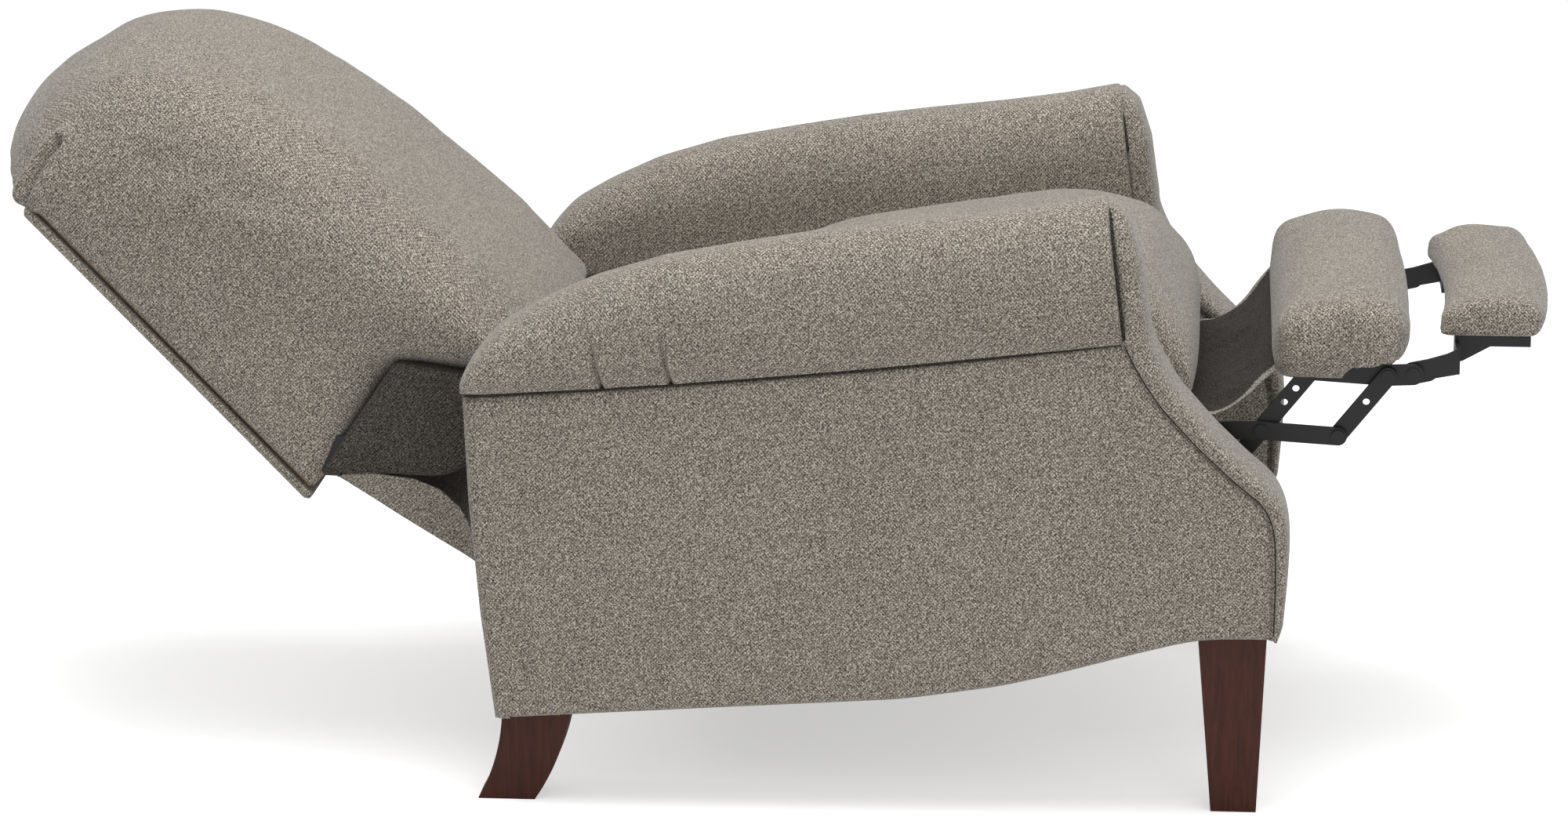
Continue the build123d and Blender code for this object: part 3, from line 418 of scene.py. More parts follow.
# Behind x = -70 the tail draws in by 8 %, so that it passes between the back's brackets.
tail = points_of(seat_cushion)
tail[:, 1] *= 1 - 0.08 * step_up((-70 - tail[:, 0] / MM) / 30)
move_points(seat_cushion, tail)
print("seat tail", round(2 * np.abs(tail[tail[:, 0] < -0.12, 1]).max(), 3), "wide between the brackets")

# %% [markdown]
# ## Leg rest and foot rest pads
# Two small cushions on boards: the leg rest fills the width between the arms, the foot rest
# is narrower and bows forward in the middle.

# %% Leg rest pad
PAD_HALF, PAD_LOW = 255.0, 416
ROOM_STEPS = ((146, 13), (205, 13))  # off the middle by so much, the underside rises by so much


def pad_outline(v):
    """Side outlines of the leg rest pad; its front edge bows 10 mm forward in the middle."""
    bow = -10 * v ** 2
    corners = [(506, 421, 16), (606, 421, 60), (649 + bow, 448, 34), (646 + bow, 496, 34),
               (575, 506, 110), (506, 488, 28)]
    return side_outline(v, corners, 160)


leg_pad = stuffed("leg_rest_pad_cover", pad_outline, PAD_HALF, end=40.0, inset=lambda ring: 20)
inflate(leg_pad, voxel=5 * MM, cap=5 * MM, pinned=lambda points: points[:, 2] < 426)

# Room under the front corners for the brackets of the foot rest, which fold in there.
room = points_of(leg_pad) / MM
beside = np.abs(room[:, 1])
ahead = step_up((room[:, 0] - 570) / 12) * step_up((PAD_HALF - beside) / 6)
raised = ahead * sum(rise * step_up((beside - side) / 10) for side, rise in ROOM_STEPS)
room[:, 2] = np.maximum(room[:, 2], PAD_LOW + raised)
move_points(leg_pad, room * MM)


# %% Foot rest pad
FOOT_CORNERS = ((667, 458.8, 8), (767, 458.8, 9), (773, 481, 16), (762, 497, 20), (705, 500, 60),
                (667, 484, 14))


def foot_outline(v):
    """Side outlines of the foot rest pad; the whole outline bows 13 (1 - v^2) forward."""
    bow = 13 * (1 - v ** 2)
    return side_outline(v, [(x + bow, z, radius) for x, z, radius in FOOT_CORNERS], 140)


def foot_inset(ring):
    """The ends roll over by 9 mm, but only by 1.5 at the bottom, where the cover meets the board."""
    return 1.5 + 7.5 * np.clip((ring[..., 1] - 462) / 9, 0, 1)


foot_pad = stuffed("foot_rest_pad_cover", foot_outline, half=199.0, end=26.0, inset=foot_inset)
inflate(foot_pad, voxel=4.5 * MM, cap=4 * MM, pinned=lambda points: points[:, 2] < 464)

# %% [markdown]
# ## The arms
# Each arm is sewn from five parts: a flat outside panel, a thin inside, a strip over the rear
# end, a roll along the top and a swelling front facing. Welts lie over the seams. The near and
# far arm are the same surface with Y turned round.

# %% Arm curves
SIDES = (("left", 1), ("right", -1))
SEAM_REAR, SEAM_FRONT = (-289.0, 420.0), (358.0, 484.0)
ARM_TOPS = np.array([(-294, 428), (-286, 448), (-270, 468), (-254, 485), (-215, 508), (-161, 533),
                     (-91, 554.5), (-14, 569), (63, 582), (140, 592), (216, 600.5), (285, 610),
                     (345, 621)], float)
FRONT_EDGE = np.array([(509, 188), (510, 240), (509, 290), (505, 309), (497, 325), (472, 344),
                       (434, 379), (395, 421), (372, 456), (358, 484)], float)
FACING_TOP = [(353, 520), (348, 560), (344, 595), (341.5, 617)]
ARCH_POWER, ARCH_FOOT = 2.3, 0.36  # the roll's arch: its power, and where it springs from the wall
FRONT_RISE, FRONT_LEAN = 135, 17  # the seam at the front: its height, and how far it leans back
FRONT_SPRING = SEAM_FRONT[1] + ARCH_FOOT * FRONT_RISE


def seam_height(x):
    """Height of the seam under the roll: a straight line with a sag of 6 mm."""
    part = (x - SEAM_REAR[0]) / (SEAM_FRONT[0] - SEAM_REAR[0])
    return SEAM_REAR[1] + (SEAM_FRONT[1] - SEAM_REAR[1]) * part - 24 * part * (1 - part)


print("the roll is", ARM_TOPS[-1, 1] - SEAM_FRONT[1], "mm high at the front")

# %% Outside panel and inside
PANEL_FOOT = np.array([(-260, 91), (-60, 105), (145, 119), (245, 135), (299, 149), (376, 171),
                       (433, 186), (470, 188), (509, 188)], float)
PANEL_REAR = np.array([(-260, 91), (-274, 200), (-284, 310), (-289, 420)], float)


def coons(bottom, top, left, right):
    """A patch between four edges: the two ruled blends added, less the corners' own blend."""
    rows, columns = len(left), len(bottom)
    u = np.linspace(0, 1, columns)[None, :, None]
    v = np.linspace(0, 1, rows)[:, None, None]
    ruled = bottom * (1 - v) + top * v + left[:, None] * (1 - u) + right[:, None] * u
    corner = (bottom[0] * (1 - u) * (1 - v) + bottom[-1] * u * (1 - v)
              + top[0] * (1 - u) * v + top[-1] * u * v)
    return ruled - corner


def panel_patch(rows, columns, inset):
    """The outside panel in side view as a patch (rows, columns, 2), pulled in by inset."""
    x = np.linspace(SEAM_REAR[0], SEAM_FRONT[0], columns)
    top = np.stack([x, seam_height(x)], axis=1)
    patch = coons(smooth_line(PANEL_FOOT, columns), top,
                  smooth_line(PANEL_REAR, rows), smooth_line(FRONT_EDGE, rows))
    middle = patch.mean(axis=(0, 1))
    reach = np.linalg.norm(patch - middle, axis=2, keepdims=True).clip(inset)
    return patch + (middle - patch) * inset / reach


def upholstered_board(name, patch, base, face, edge, swell):
    """A padded board: the patch at height base, and again at height face with the rim turned in.
    Near the rim the face falls as a quarter circle of radius edge; swell lifts its middle."""
    rows, columns = patch.shape[:2]
    step_u = np.linalg.norm(np.diff(patch, axis=1), axis=2).mean()
    step_v = np.linalg.norm(np.diff(patch, axis=0), axis=2).mean()
    i = np.arange(rows)[:, None]
    j = np.arange(columns)[None, :]
    rim = np.minimum(np.minimum(i, rows - 1 - i) * step_v, np.minimum(j, columns - 1 - j) * step_u)
    turn = np.clip(1 - rim / edge, 0, 1)
    lift = np.sqrt(1 - turn ** 2) * edge - edge
    pillow = swell * np.clip(rim / 120, 0, 1) ** 0.5
    y = face + np.sign(face - base) * (lift + pillow)
    front = np.stack([patch[..., 0], y, patch[..., 1]], axis=-1).reshape(-1, 3)
    back = np.stack([patch[..., 0], base + 0 * y, patch[..., 1]], axis=-1).reshape(-1, 3)
    faces = np.array(grid_faces(rows, columns, False))
    count = rows * columns
    index = np.arange(count).reshape(rows, columns)
    border = np.concatenate([index[0, :-1], index[:-1, -1], index[-1, :0:-1], index[:0:-1, 0]])
    walls = np.stack([border, np.roll(border, -1), np.roll(border, -1) + count, border + count], axis=1)
    everything = np.concatenate([faces, faces[:, ::-1] + count, walls[:, ::-1]]).tolist()
    piece = put_mesh(name, np.concatenate([front, back]) * MM, everything)
    face_outwards(piece)
    return piece


def on_both_arms(title, make):
    """Adds make(name, sign) to the pieces of each arm; sign is 1 on the left, at +Y."""
    for side, sign in SIDES:
        arm_pieces[side].append(make(f"{title}_{side}", sign))


arm_pieces = {}
for side, sign in SIDES:
    panel = upholstered_board(f"outside_arm_{side}", panel_patch(90, 150, 0.6),
                              base=sign * 345.5, face=sign * 366.5, edge=7.0, swell=2.5)
    inside = upholstered_board(f"inside_arm_{side}", panel_patch(40, 60, 4.0),
                               base=sign * 270, face=sign * 260.6, edge=2.0, swell=0.0)
    arm_pieces[side] = [panel, inside]
print("each outside panel has", len(panel.data.polygons), "faces")


# %% Rear of the arms
REAR_LINE = np.array([(-257, 92), (-271, 200), (-281, 310), (-285.5, 418)], float)
REAR_ACROSS = np.array([263.5, 264.5, 268, 314, 360, 363.5, 364.5])
REAR_DRAWN_IN = np.array([6.0, 1.2, 0, -0.6, 0, 1.2, 6.0])


def arm_rear(name, sign):
    """Cloth over the rear end of an arm: a strip that follows the panel's rear edge, 7 mm thick."""
    line = smooth_line(REAR_LINE, 60)
    x = line[:, :1] + REAR_DRAWN_IN
    outer = np.stack([x, sign * REAR_ACROSS + 0 * x, line[:, 1:] + 0 * x], axis=-1)
    inner = outer[:, ::-1] + np.array([7.0, 0, 0])
    return tube(name, np.concatenate([outer, inner], axis=1) * MM)


on_both_arms("arm_rear_cover", arm_rear)
print("rear strips", REAR_ACROSS[-1] - REAR_ACROSS[0], "mm wide")


# %% Arm roll
ROLL_STEPS = ((-290, -250, 30), (-249, -60, 170), (-57, 330, 130), (333, 346, 14))  # from, to, count
ROLL_OUTER, ROLL_INNER, ROLL_LAP = 379.0, 258.4, 14
TUCKS = ((-150.0, -0.22, 58.0), (-82.0, -0.23, 50.0))  # x at the seam, lean, reach above the seam


def roll_tucks(x, y, z, low):
    """Two short tucks just above the seam: a groove 8 mm deep with a low swelling on each side."""
    push = np.zeros_like(y)
    for place, lean, reach in TUCKS:
        off = x[:, None] - place - lean * (z - low[:, None])
        fade = np.clip(1 - (z - low[:, None]) / reach, 0, 1) ** 0.5
        swell = 1.8 * np.exp(-((np.abs(off) - 7) / 5) ** 2)
        push += fade * (swell - 8.0 * np.exp(-(off / 2.1) ** 2))
    return push


def roll_ridge(x):
    """Height of the roll's top: the given heights on an even grid, smoothed by a bell over 11 steps."""
    even = np.linspace(-294, 348, 240)
    ridge = np.interp(even, ARM_TOPS[:, 0], ARM_TOPS[:, 1])
    bell = np.hanning(13)[1:-1] / np.hanning(13)[1:-1].sum()
    ridge = np.convolve(np.pad(ridge, 5, mode="reflect", reflect_type="odd"), bell, "valid")
    return np.interp(x, even, ridge)


def arm_roll(name, sign):
    """The roll: at each x a ring that starts at the seam, swells outwards, arches over the top and
    comes down inside, 14 mm past the seam. The arch is a superellipse of power 2.3; the front end is
    slanted like the seam of the facing and turns in over its last 6 mm, the rear end over 31 mm."""
    x = np.concatenate([np.linspace(*steps) for steps in ROLL_STEPS])
    top = roll_ridge(x)[:, None]
    seam = seam_height(x) + 0.8
    low = seam[:, None]
    spring = low + (top - low) * ARCH_FOOT
    middle, half = (ROLL_OUTER + ROLL_INNER) / 2, (ROLL_OUTER - ROLL_INNER) / 2
    across, up = superellipse(np.linspace(0, np.pi, 72)[None, :], ARCH_POWER)
    rise = np.linspace(0, 1, 16)[None, :-1]
    down = np.linspace(0, 1, 10)[None, 1:]
    wall = ROLL_OUTER - 13 * (1 - rise) ** 2.4
    y = np.concatenate([wall, middle + half * across, ROLL_INNER + 0 * down], axis=1) * np.ones((len(x), 1))
    z = np.concatenate([low + (spring - low) * rise, spring + (top - spring) * up,
                        spring + (low - ROLL_LAP - spring) * down], axis=1)
    y = y + roll_tucks(x, y, z, seam) * (y > middle)
    turn = 6 * quarter_circle((x - 340) / 6.2)[:, None]
    heel = 16 * quarter_circle((-262 - x) / 31.2)[:, None]
    y = y - (turn + heel) * (y - middle) / half
    z = z - turn * np.clip((z - 500) / 60, -0.3, 1)
    leaning = 12 - FRONT_LEAN * np.clip((z - SEAM_FRONT[1]) / FRONT_RISE, 0, 1)
    slant = np.clip((x - 250) / 96, 0, 1)[:, None] * leaning
    return tube(name, np.stack([x[:, None] + slant, sign * y, z], axis=-1) * MM)


on_both_arms("arm_roll_cover", arm_roll)
print("rolls", ROLL_OUTER - ROLL_INNER, "mm wide with", len(TUCKS), "tucks each")


# %% Front facing
BULGE = np.array([(187, 4), (200, 9), (260, 13), (330, 17), (420, 21), (500, 28), (560, 27), (600, 19),
                  (617, 6)], float)  # height, and how far the facing swells forward there
FACING_OUTER, FACING_INNER, FACING_HIGH = 371.0, 261.0, 619.5


def arm_facing(name, sign):
    """The facing: a pillow section carried along the arm's front edge from the toe to the top.
    The section is a superellipse of power 3 cut at 120 degrees each way, so it comes out of the seam,
    bulges sideways and swells forward; near the top its width follows the roll's arch."""
    path = smooth_line(np.concatenate([FRONT_EDGE, FACING_TOP]), 150)
    along = tangents(path)
    normal = np.stack([along[:, 1], -along[:, 0]], axis=1)
    arch = np.clip((path[:, 1] - FRONT_SPRING) / (FACING_HIGH - FRONT_SPRING), 0, 1)
    width = np.maximum((1 - arch ** ARCH_POWER) ** (1 / ARCH_POWER), 0.03)[:, None]
    ahead, side = superellipse(np.radians(np.linspace(-120, 120, 61))[None, :], 3)
    ahead = (ahead + 0.63) / 1.63  # 0 where the section is cut, 1 in its middle
    middle, half = (FACING_OUTER + FACING_INNER) / 2, (FACING_OUTER - FACING_INNER) / 2
    y = middle + half * side * width
    bulge = np.interp(path[:, 1], BULGE[:, 0], BULGE[:, 1])[:, None]
    forward = bulge * ahead * np.minimum(1, width * 1.6) ** 0.5 + 0.3

    def swept(off, y):
        x, z = (path[:, k:k + 1] + normal[:, k:k + 1] * off for k in (0, 1))
        return np.stack([x, sign * y, z], axis=-1)

    back = swept(-5.0 + 0 * y, middle + (y - middle) * 0.9)[:, ::-1]
    return tube(name, np.concatenate([swept(forward, y), back], axis=1) * MM)


on_both_arms("arm_facing_cover", arm_facing)
print("facings swell forward by up to", BULGE[:, 1].max(), "mm")


# %% Seams of the arms
WELT_SIDES, WELT_RADIUS = 8, 1.5


def welts(name, lines):
    """Sewn seams as thin round strips: each line is followed by a ring of 8 points, turned so that
    it stays square to the line."""
    turn = np.linspace(0, 2 * np.pi, WELT_SIDES, endpoint=False)[None, :, None]
    points, faces, used = [], [], 0
    for line in lines:
        count = len(line)
        along = tangents(line)
        first = np.cross(along, np.array([0.31, 0.52, 0.79]))
        first /= np.linalg.norm(first, axis=1, keepdims=True)
        second = np.cross(along, first)
        from_end = np.minimum(np.arange(count), np.arange(count)[::-1])
        taper = np.minimum(1, from_end / 3 + 0.1)[:, None, None]
        ring = first[:, None] * np.cos(turn) + second[:, None] * np.sin(turn)
        points.append((line[:, None] + WELT_RADIUS * taper * ring).reshape(-1, 3))
        quads = np.array(grid_faces(count, WELT_SIDES, True)) + used
        cap = np.arange(WELT_SIDES)
        ends = np.array([cap[::-1], (count - 1) * WELT_SIDES + cap]) + used
        faces += quads.tolist() + ends.tolist()
        used += count * WELT_SIDES
    piece = put_mesh(name, np.concatenate(points) * MM, faces)
    face_outwards(piece)
    return piece


def arm_seams(name, sign):
    """Panel to facing, panel to roll, and roll to facing over the arch."""
    edge = smooth_line(FRONT_EDGE, 120)
    front = np.stack([edge[:, 0] + 0.6, 365.0 + 0 * edge[:, 0], edge[:, 1]], axis=1)
    x = np.linspace(-287, 357, 160)
    under = np.stack([x, 364.2 + 0 * x, seam_height(x) - 0.4], axis=1)
    across, up = superellipse(np.linspace(0, 0.93 * np.pi, 90), ARCH_POWER)
    foot, top = 485, 615.5
    wall = np.linspace(foot, FRONT_SPRING, 30)[:-1]
    swell = 374.5 - 9 * (1 - (wall - foot) / (FRONT_SPRING - foot)) ** 2.4
    y = np.concatenate([swell, 318.7 + 55.8 * across])
    z = np.concatenate([wall, FRONT_SPRING + (top - FRONT_SPRING) * up])
    over = np.stack([359.5 - FRONT_LEAN * (z - SEAM_FRONT[1]) / FRONT_RISE, y, z], axis=1)
    return welts(name, [smooth_line(line * np.array([1, sign, 1]), 140) for line in (front, under, over)])


on_both_arms("arm_seams", arm_seams)
print("arm pieces", sum(len(p) for p in arm_pieces.values()))

# %% [markdown]
# ## Cloth behind and below
# The outside back is a padded board; below the cushion the cover is pulled through towards
# the seat; an apron closes the gap to the base and a flap the gap to the leg rest.

# %% Outside back
def outside_back():
    """A padded board on the rear face, 2 x 251 wide, its edges rounded by 4 and its middle swelling 3."""
    v = np.linspace(-1, 1, 90)
    run = np.linspace(0, 1, 100)[:, None]
    patch = np.stack([v[None, :] * 251 + 0 * run, 3 + run * (panel_top(v)[None, :] - 3)], axis=-1)
    piece = upholstered_board("outside_back_cover", patch, base=8.3, face=-0.5, edge=4.0, swell=3.0)
    p = points_of(piece) / MM
    place = back_place(p[:, 2], p[:, 1])
    move_points(piece, np.stack([place[:, 0], p[:, 0], place[:, 1]], axis=1) * MM)
    face_outwards(piece)
    return piece


outside_back_cover = outside_back()
print("outside back with", len(outside_back_cover.data.polygons), "faces")


# %% Lower inside back
PULL_CORNERS = [back_place(-5.0, 16.0), back_place(-38.0, 166.0), (-330, 421), (-268, 408), (-262, 380),
                (-266, 338), (-329, 304), (-436, 298)]
PULL_RADII = [3, 10, 12, 14, 16, 8, 14, 6]


def lower_back():
    """The pull-through: its side outline lies against the cushion and has soft folds in its front;
    its lowest 14 mm draw in to 0.86 of its width."""
    y = np.concatenate([np.linspace(-250, -236, 8)[:-1], np.linspace(-236, 236, 100),
                        np.linspace(236, 250, 8)[1:]])
    ring = rounded(np.repeat(np.array(PULL_CORNERS, float)[None], len(y), axis=0), PULL_RADII, 160)
    free = np.clip((ring[..., 0] + 420) / 80, 0, 1)
    across = y[:, None]
    fold = np.sin(across / 23 + ring[..., 0] / 29) + 0.6 * np.sin(across / 11 - ring[..., 1] / 17)
    edge = 4 * np.clip((np.abs(across) - 241) / 9, 0, 1) ** 2
    ring = ring - ring_normals(ring) * (edge + free * (1.6 + fold))[..., None]
    rings = np.stack([ring[..., 0], across + 0 * ring[..., 0], ring[..., 1]], axis=-1)
    piece = tube("lower_inside_back_cover", rings * MM)
    points = points_of(piece)
    points[:, 1] *= 0.86 + 0.14 * step_up((points[:, 2] / MM - 299) / 14)
    move_points(piece, points)
    return piece


pull_through = lower_back()
print("pull-through with", len(pull_through.data.polygons), "faces")


# %% Rear apron and leg rest flap
CLOTH_THICK = 1.6
APRON_HALF, FLAP_HALF = 246.0, 222.0
APRON_PATH = [(-432, 303.5), (-390, 279), (-345, 252), (-303, 226), (-284, 212), (-276, 180), (-266, 110),
              (-264.5, 94)]
APRON_HEM = np.array([(-430, 4), (-425, 10), (-393, 32), (-353, 52), (-326, 58), (-306, 52), (-288, 30),
                      (-276, 8)], float)  # x, and how far the side hem is caught up there
FLAP_PATH = [(382, 385.5), (422, 381.5), (446, 386), (480, 405), (507.5, 427.5)]


def cloth_strip(name, path, width, shape, rows=110, columns=90):
    """A sheet along a side-view path: shape(x, t, v) gives how far it lies off the path along the
    path's normal and how far it is lifted; t runs along the path, v across it from -1 to 1."""
    line = smooth_line(np.array(path, float), columns)
    along = tangents(line)
    t = np.linspace(0, 1, columns)[None, :]
    v = np.sin(np.linspace(-1, 1, rows) * np.pi / 2)[:, None]
    off, lift = shape(line[:, 0][None, :], t, v)
    x = line[:, 0][None, :] - along[:, 1][None, :] * off
    z = line[:, 1][None, :] + along[:, 0][None, :] * off + lift
    points = np.stack([x, v * width + 0 * x, z], axis=-1)
    piece = put_mesh(name, points * MM, grid_faces(rows, columns, False))
    uv = piece.data.uv_layers.new(name="cloth")
    loops = np.zeros(len(piece.data.loops), np.int32)
    piece.data.loops.foreach_get("vertex_index", loops)
    flat = np.stack([(t + 0 * v).ravel(), (v + 0 * t).ravel()], axis=1)
    uv.data.foreach_set("uv", flat[loops].ravel())
    thicken = piece.modifiers.new("thick", "SOLIDIFY")
    thicken.thickness = CLOTH_THICK * MM
    thicken.offset = 0.0
    take_modifiers(piece)
    return piece, (2 * width * MM, run_along(line)[-1] * MM)


def apron_shape(x, t, v):
    """Slack between the back and the base, and side hems caught up in a curve, 58 mm at most."""
    off = -3 * np.sin(np.pi * t) + 1.2 * np.sin(9 * v + 5 * t) * np.sin(np.pi * t)
    hem = np.interp(x, APRON_HEM[:, 0], APRON_HEM[:, 1])
    return off, hem * np.clip((np.abs(v) - 0.94) / 0.06, 0, 1) ** 0.8


def flap_shape(x, t, v):
    """Slack folds that run slantwise from the seat to the leg rest; the near corner hangs lowest."""
    free = np.sin(np.pi * np.clip((t - 0.2) / 0.78, 0, 1)) ** 1.1
    wave = np.sin(6 * v + 8 * t) + 0.6 * np.sin(12 * v - 7 * t + 1) + 0.35 * np.sin(23 * v + 11 * t)
    rise = 17 * np.clip((v + 1) / 0.5, 0, 1) ** 0.7 * np.clip((t - 0.45) / 0.55, 0, 1) ** 1.4
    return (2.4 * wave - 3) * free, rise


apron, apron_flat = cloth_strip("rear_apron_cover", APRON_PATH, APRON_HALF, apron_shape)
flap, flap_flat = cloth_strip("leg_rest_flap_cover", FLAP_PATH, FLAP_HALF, flap_shape)
print("apron", apron_flat, "flap", flap_flat)

# %% [markdown]
# ## Finishes
# The cover is a heathered weave: pale and dark yarns mixed, with fine diagonal ribs. The ribs
# are drawn in the two axes that a face spans, so the cloth needs no unwrapping.

# %% Node helpers
def tone(value):
    """A display colour (0-255) as the linear colour that shaders use."""
    c = np.array(value, float) / 255
    return [*np.where(c <= 0.04045, c / 12.92, ((c + 0.055) / 1.055) ** 2.4), 1.0]


def finish_base(name, values):
    """A new node material with these values on its shader, and a small helper to add linked nodes."""
    material = bpy.data.materials.new(name)
    material.use_nodes = True
    tree = material.node_tree
    shader = tree.nodes["Principled BSDF"]
    for key, value in values.items():
        shader.inputs[key].default_value = value

    def add(kind, links=(), **values):
        node = tree.nodes.new(kind)
        for key, value in values.items():
            if key in node.inputs.keys():
                node.inputs[key].default_value = value
            else:
                setattr(node, key, value)
        for socket, source in links:
            tree.links.new(source, node.inputs[socket])
        return node

    return material, tree, shader, add


def ramp(add, source, stops):
    """A colour ramp through (position, colour) stops."""
    node = add("ShaderNodeValToRGB", [("Fac", source)])
    bar = node.color_ramp.elements
    bar[0].position, bar[0].color = stops[0][0], tone(stops[0][1])
    bar[1].position, bar[1].color = stops[-1][0], tone(stops[-1][1])
    for position, colour in stops[1:-1]:
        bar.new(position).color = tone(colour)
    return node


def calc(add, operation, *terms):
    """One step of arithmetic on sockets and numbers."""
    node = add("ShaderNodeMath", operation=operation)
    for socket, term in zip(node.inputs, terms):
        if isinstance(term, (int, float)):
            socket.default_value = term
        else:
            node.id_data.links.new(term, socket)
    return node.outputs[0]


def blend_colours(add, kind, amount, first, second):
    """Two colours blended by amount, which is a number or a socket."""
    node = add("ShaderNodeMix", data_type="RGBA", blend_type=kind)
    sockets = [s for s in node.inputs if s.type == "RGBA"]
    node.id_data.links.new(first, sockets[0])
    node.id_data.links.new(second, sockets[1])
    if isinstance(amount, (int, float)):
        node.inputs[0].default_value = amount
    else:
        node.id_data.links.new(amount, node.inputs[0])
    return [s for s in node.outputs if s.type == "RGBA"][0]


print("mid grey (128) is", round(float(tone((128, 128, 128))[0]), 3), "to a shader")

# %% Woven cover
YARN_TONES = [(0.36, (50, 44, 38)), (0.46, (113, 106, 96)), (0.54, (147, 140, 129)),
              (0.65, (212, 205, 194))]
FRAYED_TONES = [(0.36, (70, 65, 56)), (0.62, (186, 182, 172))]
YARN, FLECK, CLOUD = 1600.0, 610.0, 9.0  # noise cells in a metre
TWILL, WEFT = 1850.0, 1500.0  # ribs each way, radians in a metre
HEM = 0.95


def cloth_axes(add):
    """Two coordinates on the cloth: x and z on faces that look along y, y and z on faces that
    look along x, x and y on faces that look up."""
    coord = add("ShaderNodeTexCoord")
    x, y, z = add("ShaderNodeSeparateXYZ", [("Vector", coord.outputs["Object"])]).outputs
    look = add("ShaderNodeVectorMath", [(0, coord.outputs["Normal"])], operation="ABSOLUTE")
    ax, ay, az = add("ShaderNodeSeparateXYZ", [("Vector", look.outputs[0])]).outputs
    along_x = calc(add, "GREATER_THAN", ax, calc(add, "MAXIMUM", ay, az))
    along_z = calc(add, "GREATER_THAN", az, calc(add, "MAXIMUM", ax, ay))
    u = calc(add, "MULTIPLY_ADD", calc(add, "SUBTRACT", y, x), along_x, x)
    v = calc(add, "MULTIPLY_ADD", calc(add, "SUBTRACT", y, z), along_z, z)
    return coord.outputs["Object"], u, v


def woven(name, shade=1.0, hem=False):
    """Heathered cloth: two sizes of yarn noise choose the colour, two diagonal sines the ribs. The
    noise is turned askew, because it fades on faces that lie flat in its own lattice.
    shade scales the yarn colours darker and lowers the sheen; the pull-through, the lining, the flap and
    the seam welts use it as painted shade. With hem, the edge of a sheet (|v| > 0.95 in its own
    coordinates) is bleached and frayed."""
    sheen = 0.2 * shade ** 2
    material, tree, shader, add = finish_base(name, {"Roughness": 0.92, "Sheen Weight": sheen,
                                                     "Sheen Roughness": 0.5, "Specular IOR Level": sheen})
    place, u, v = cloth_axes(add)
    askew = add("ShaderNodeVectorRotate", [("Vector", place)], rotation_type="EULER_XYZ",
                Rotation=(0.6, 0.5, 0.8)).outputs[0]

    def noise(scale, **values):
        return add("ShaderNodeTexNoise", [("Vector", askew)], Scale=scale, **values).outputs["Fac"]

    yarn = noise(YARN, Detail=1.0, Roughness=0.5)
    fleck = noise(FLECK, Detail=2.0, Roughness=0.6)
    cloud = noise(CLOUD, Detail=2.0)
    sway = calc(add, "MULTIPLY", fleck, 2.4)
    twill = calc(add, "SINE", calc(add, "MULTIPLY_ADD", calc(add, "ADD", u, v), TWILL, sway))
    weft = calc(add, "SINE", calc(add, "MULTIPLY_ADD", calc(add, "SUBTRACT", u, v), WEFT, sway))
    mixed = calc(add, "MULTIPLY_ADD", fleck, 0.75, calc(add, "MULTIPLY", yarn, 0.25))
    ribbed = calc(add, "MULTIPLY_ADD", twill, 0.035, mixed)
    heather = calc(add, "MULTIPLY_ADD", weft, 0.025, ribbed)
    tones = [(place, [part * shade for part in rgb]) for place, rgb in YARN_TONES]
    colour = ramp(add, heather, tones).outputs["Color"]
    drift = ramp(add, cloud, [(0.3, (249, 249, 249)), (0.7, (255, 255, 255))]).outputs["Color"]
    colour = blend_colours(add, "MULTIPLY", 1.0, colour, drift)
    if hem:
        sheet = add("ShaderNodeUVMap", uv_map="cloth").outputs[0]
        across = calc(add, "ABSOLUTE", add("ShaderNodeSeparateXYZ", [("Vector", sheet)]).outputs[1])
        rim = calc(add, "MULTIPLY_ADD", calc(add, "SUBTRACT", fleck, 0.5), 0.06, across)
        frayed = ramp(add, fleck, FRAYED_TONES).outputs["Color"]
        colour = blend_colours(add, "MIX", calc(add, "GREATER_THAN", rim, HEM), colour, frayed)
    tree.links.new(colour, shader.inputs["Base Color"])
    height = calc(add, "MULTIPLY_ADD", twill, 0.4, calc(add, "MULTIPLY_ADD", weft, 0.25, fleck))
    bump = add("ShaderNodeBump", [("Height", height)], Strength=0.18, Distance=0.0005)
    tree.links.new(bump.outputs["Normal"], shader.inputs["Normal"])
    return material


cover = woven("heather_weave")
# The pull-through and the lining are the cover darkened to 0.55: painted shade for cloth deep in the cavity
# under the back.
cover_painted_shade = woven("heather_weave_painted_shade", 0.55)
# The flap is the cover darkened to 0.45, painted shade for its place under the seat and the pad; its pale
# frayed hem is real.
cover_flap_painted_shade = woven("heather_weave_flap_painted_shade", 0.45, hem=True)
# The seam welts are the cover darkened to 0.4: real welts whose dark colour is painted shade of the seam
# grooves.
seam_cloth_painted_shade = woven("heather_weave_seam_painted_shade", 0.4)
print("cover of", len(cover.node_tree.nodes), "nodes, flap of", len(cover_flap_painted_shade.node_tree.nodes))


# %% Wood and steel
def timber(name, dark, light, stretch):
    """Wood grain: noise drawn out along one axis, with fine pores in the bump."""
    material, tree, shader, add = finish_base(name, {"Roughness": 0.4, "Specular IOR Level": 0.28})
    place = add("ShaderNodeTexCoord").outputs["Object"]
    drawn = add("ShaderNodeMapping", [("Vector", place)], Scale=stretch)
    grain = add("ShaderNodeTexNoise", [("Vector", drawn.outputs[0])], Scale=1.0, Detail=6.0,
                Roughness=0.62, Distortion=0.6).outputs["Fac"]
    colour = ramp(add, grain, [(0.3, dark), (0.7, light)])
    tree.links.new(colour.outputs["Color"], shader.inputs["Base Color"])
    bump = add("ShaderNodeBump", [("Height", grain)], Strength=0.12, Distance=0.0005)
    tree.links.new(bump.outputs["Normal"], shader.inputs["Normal"])
    return material


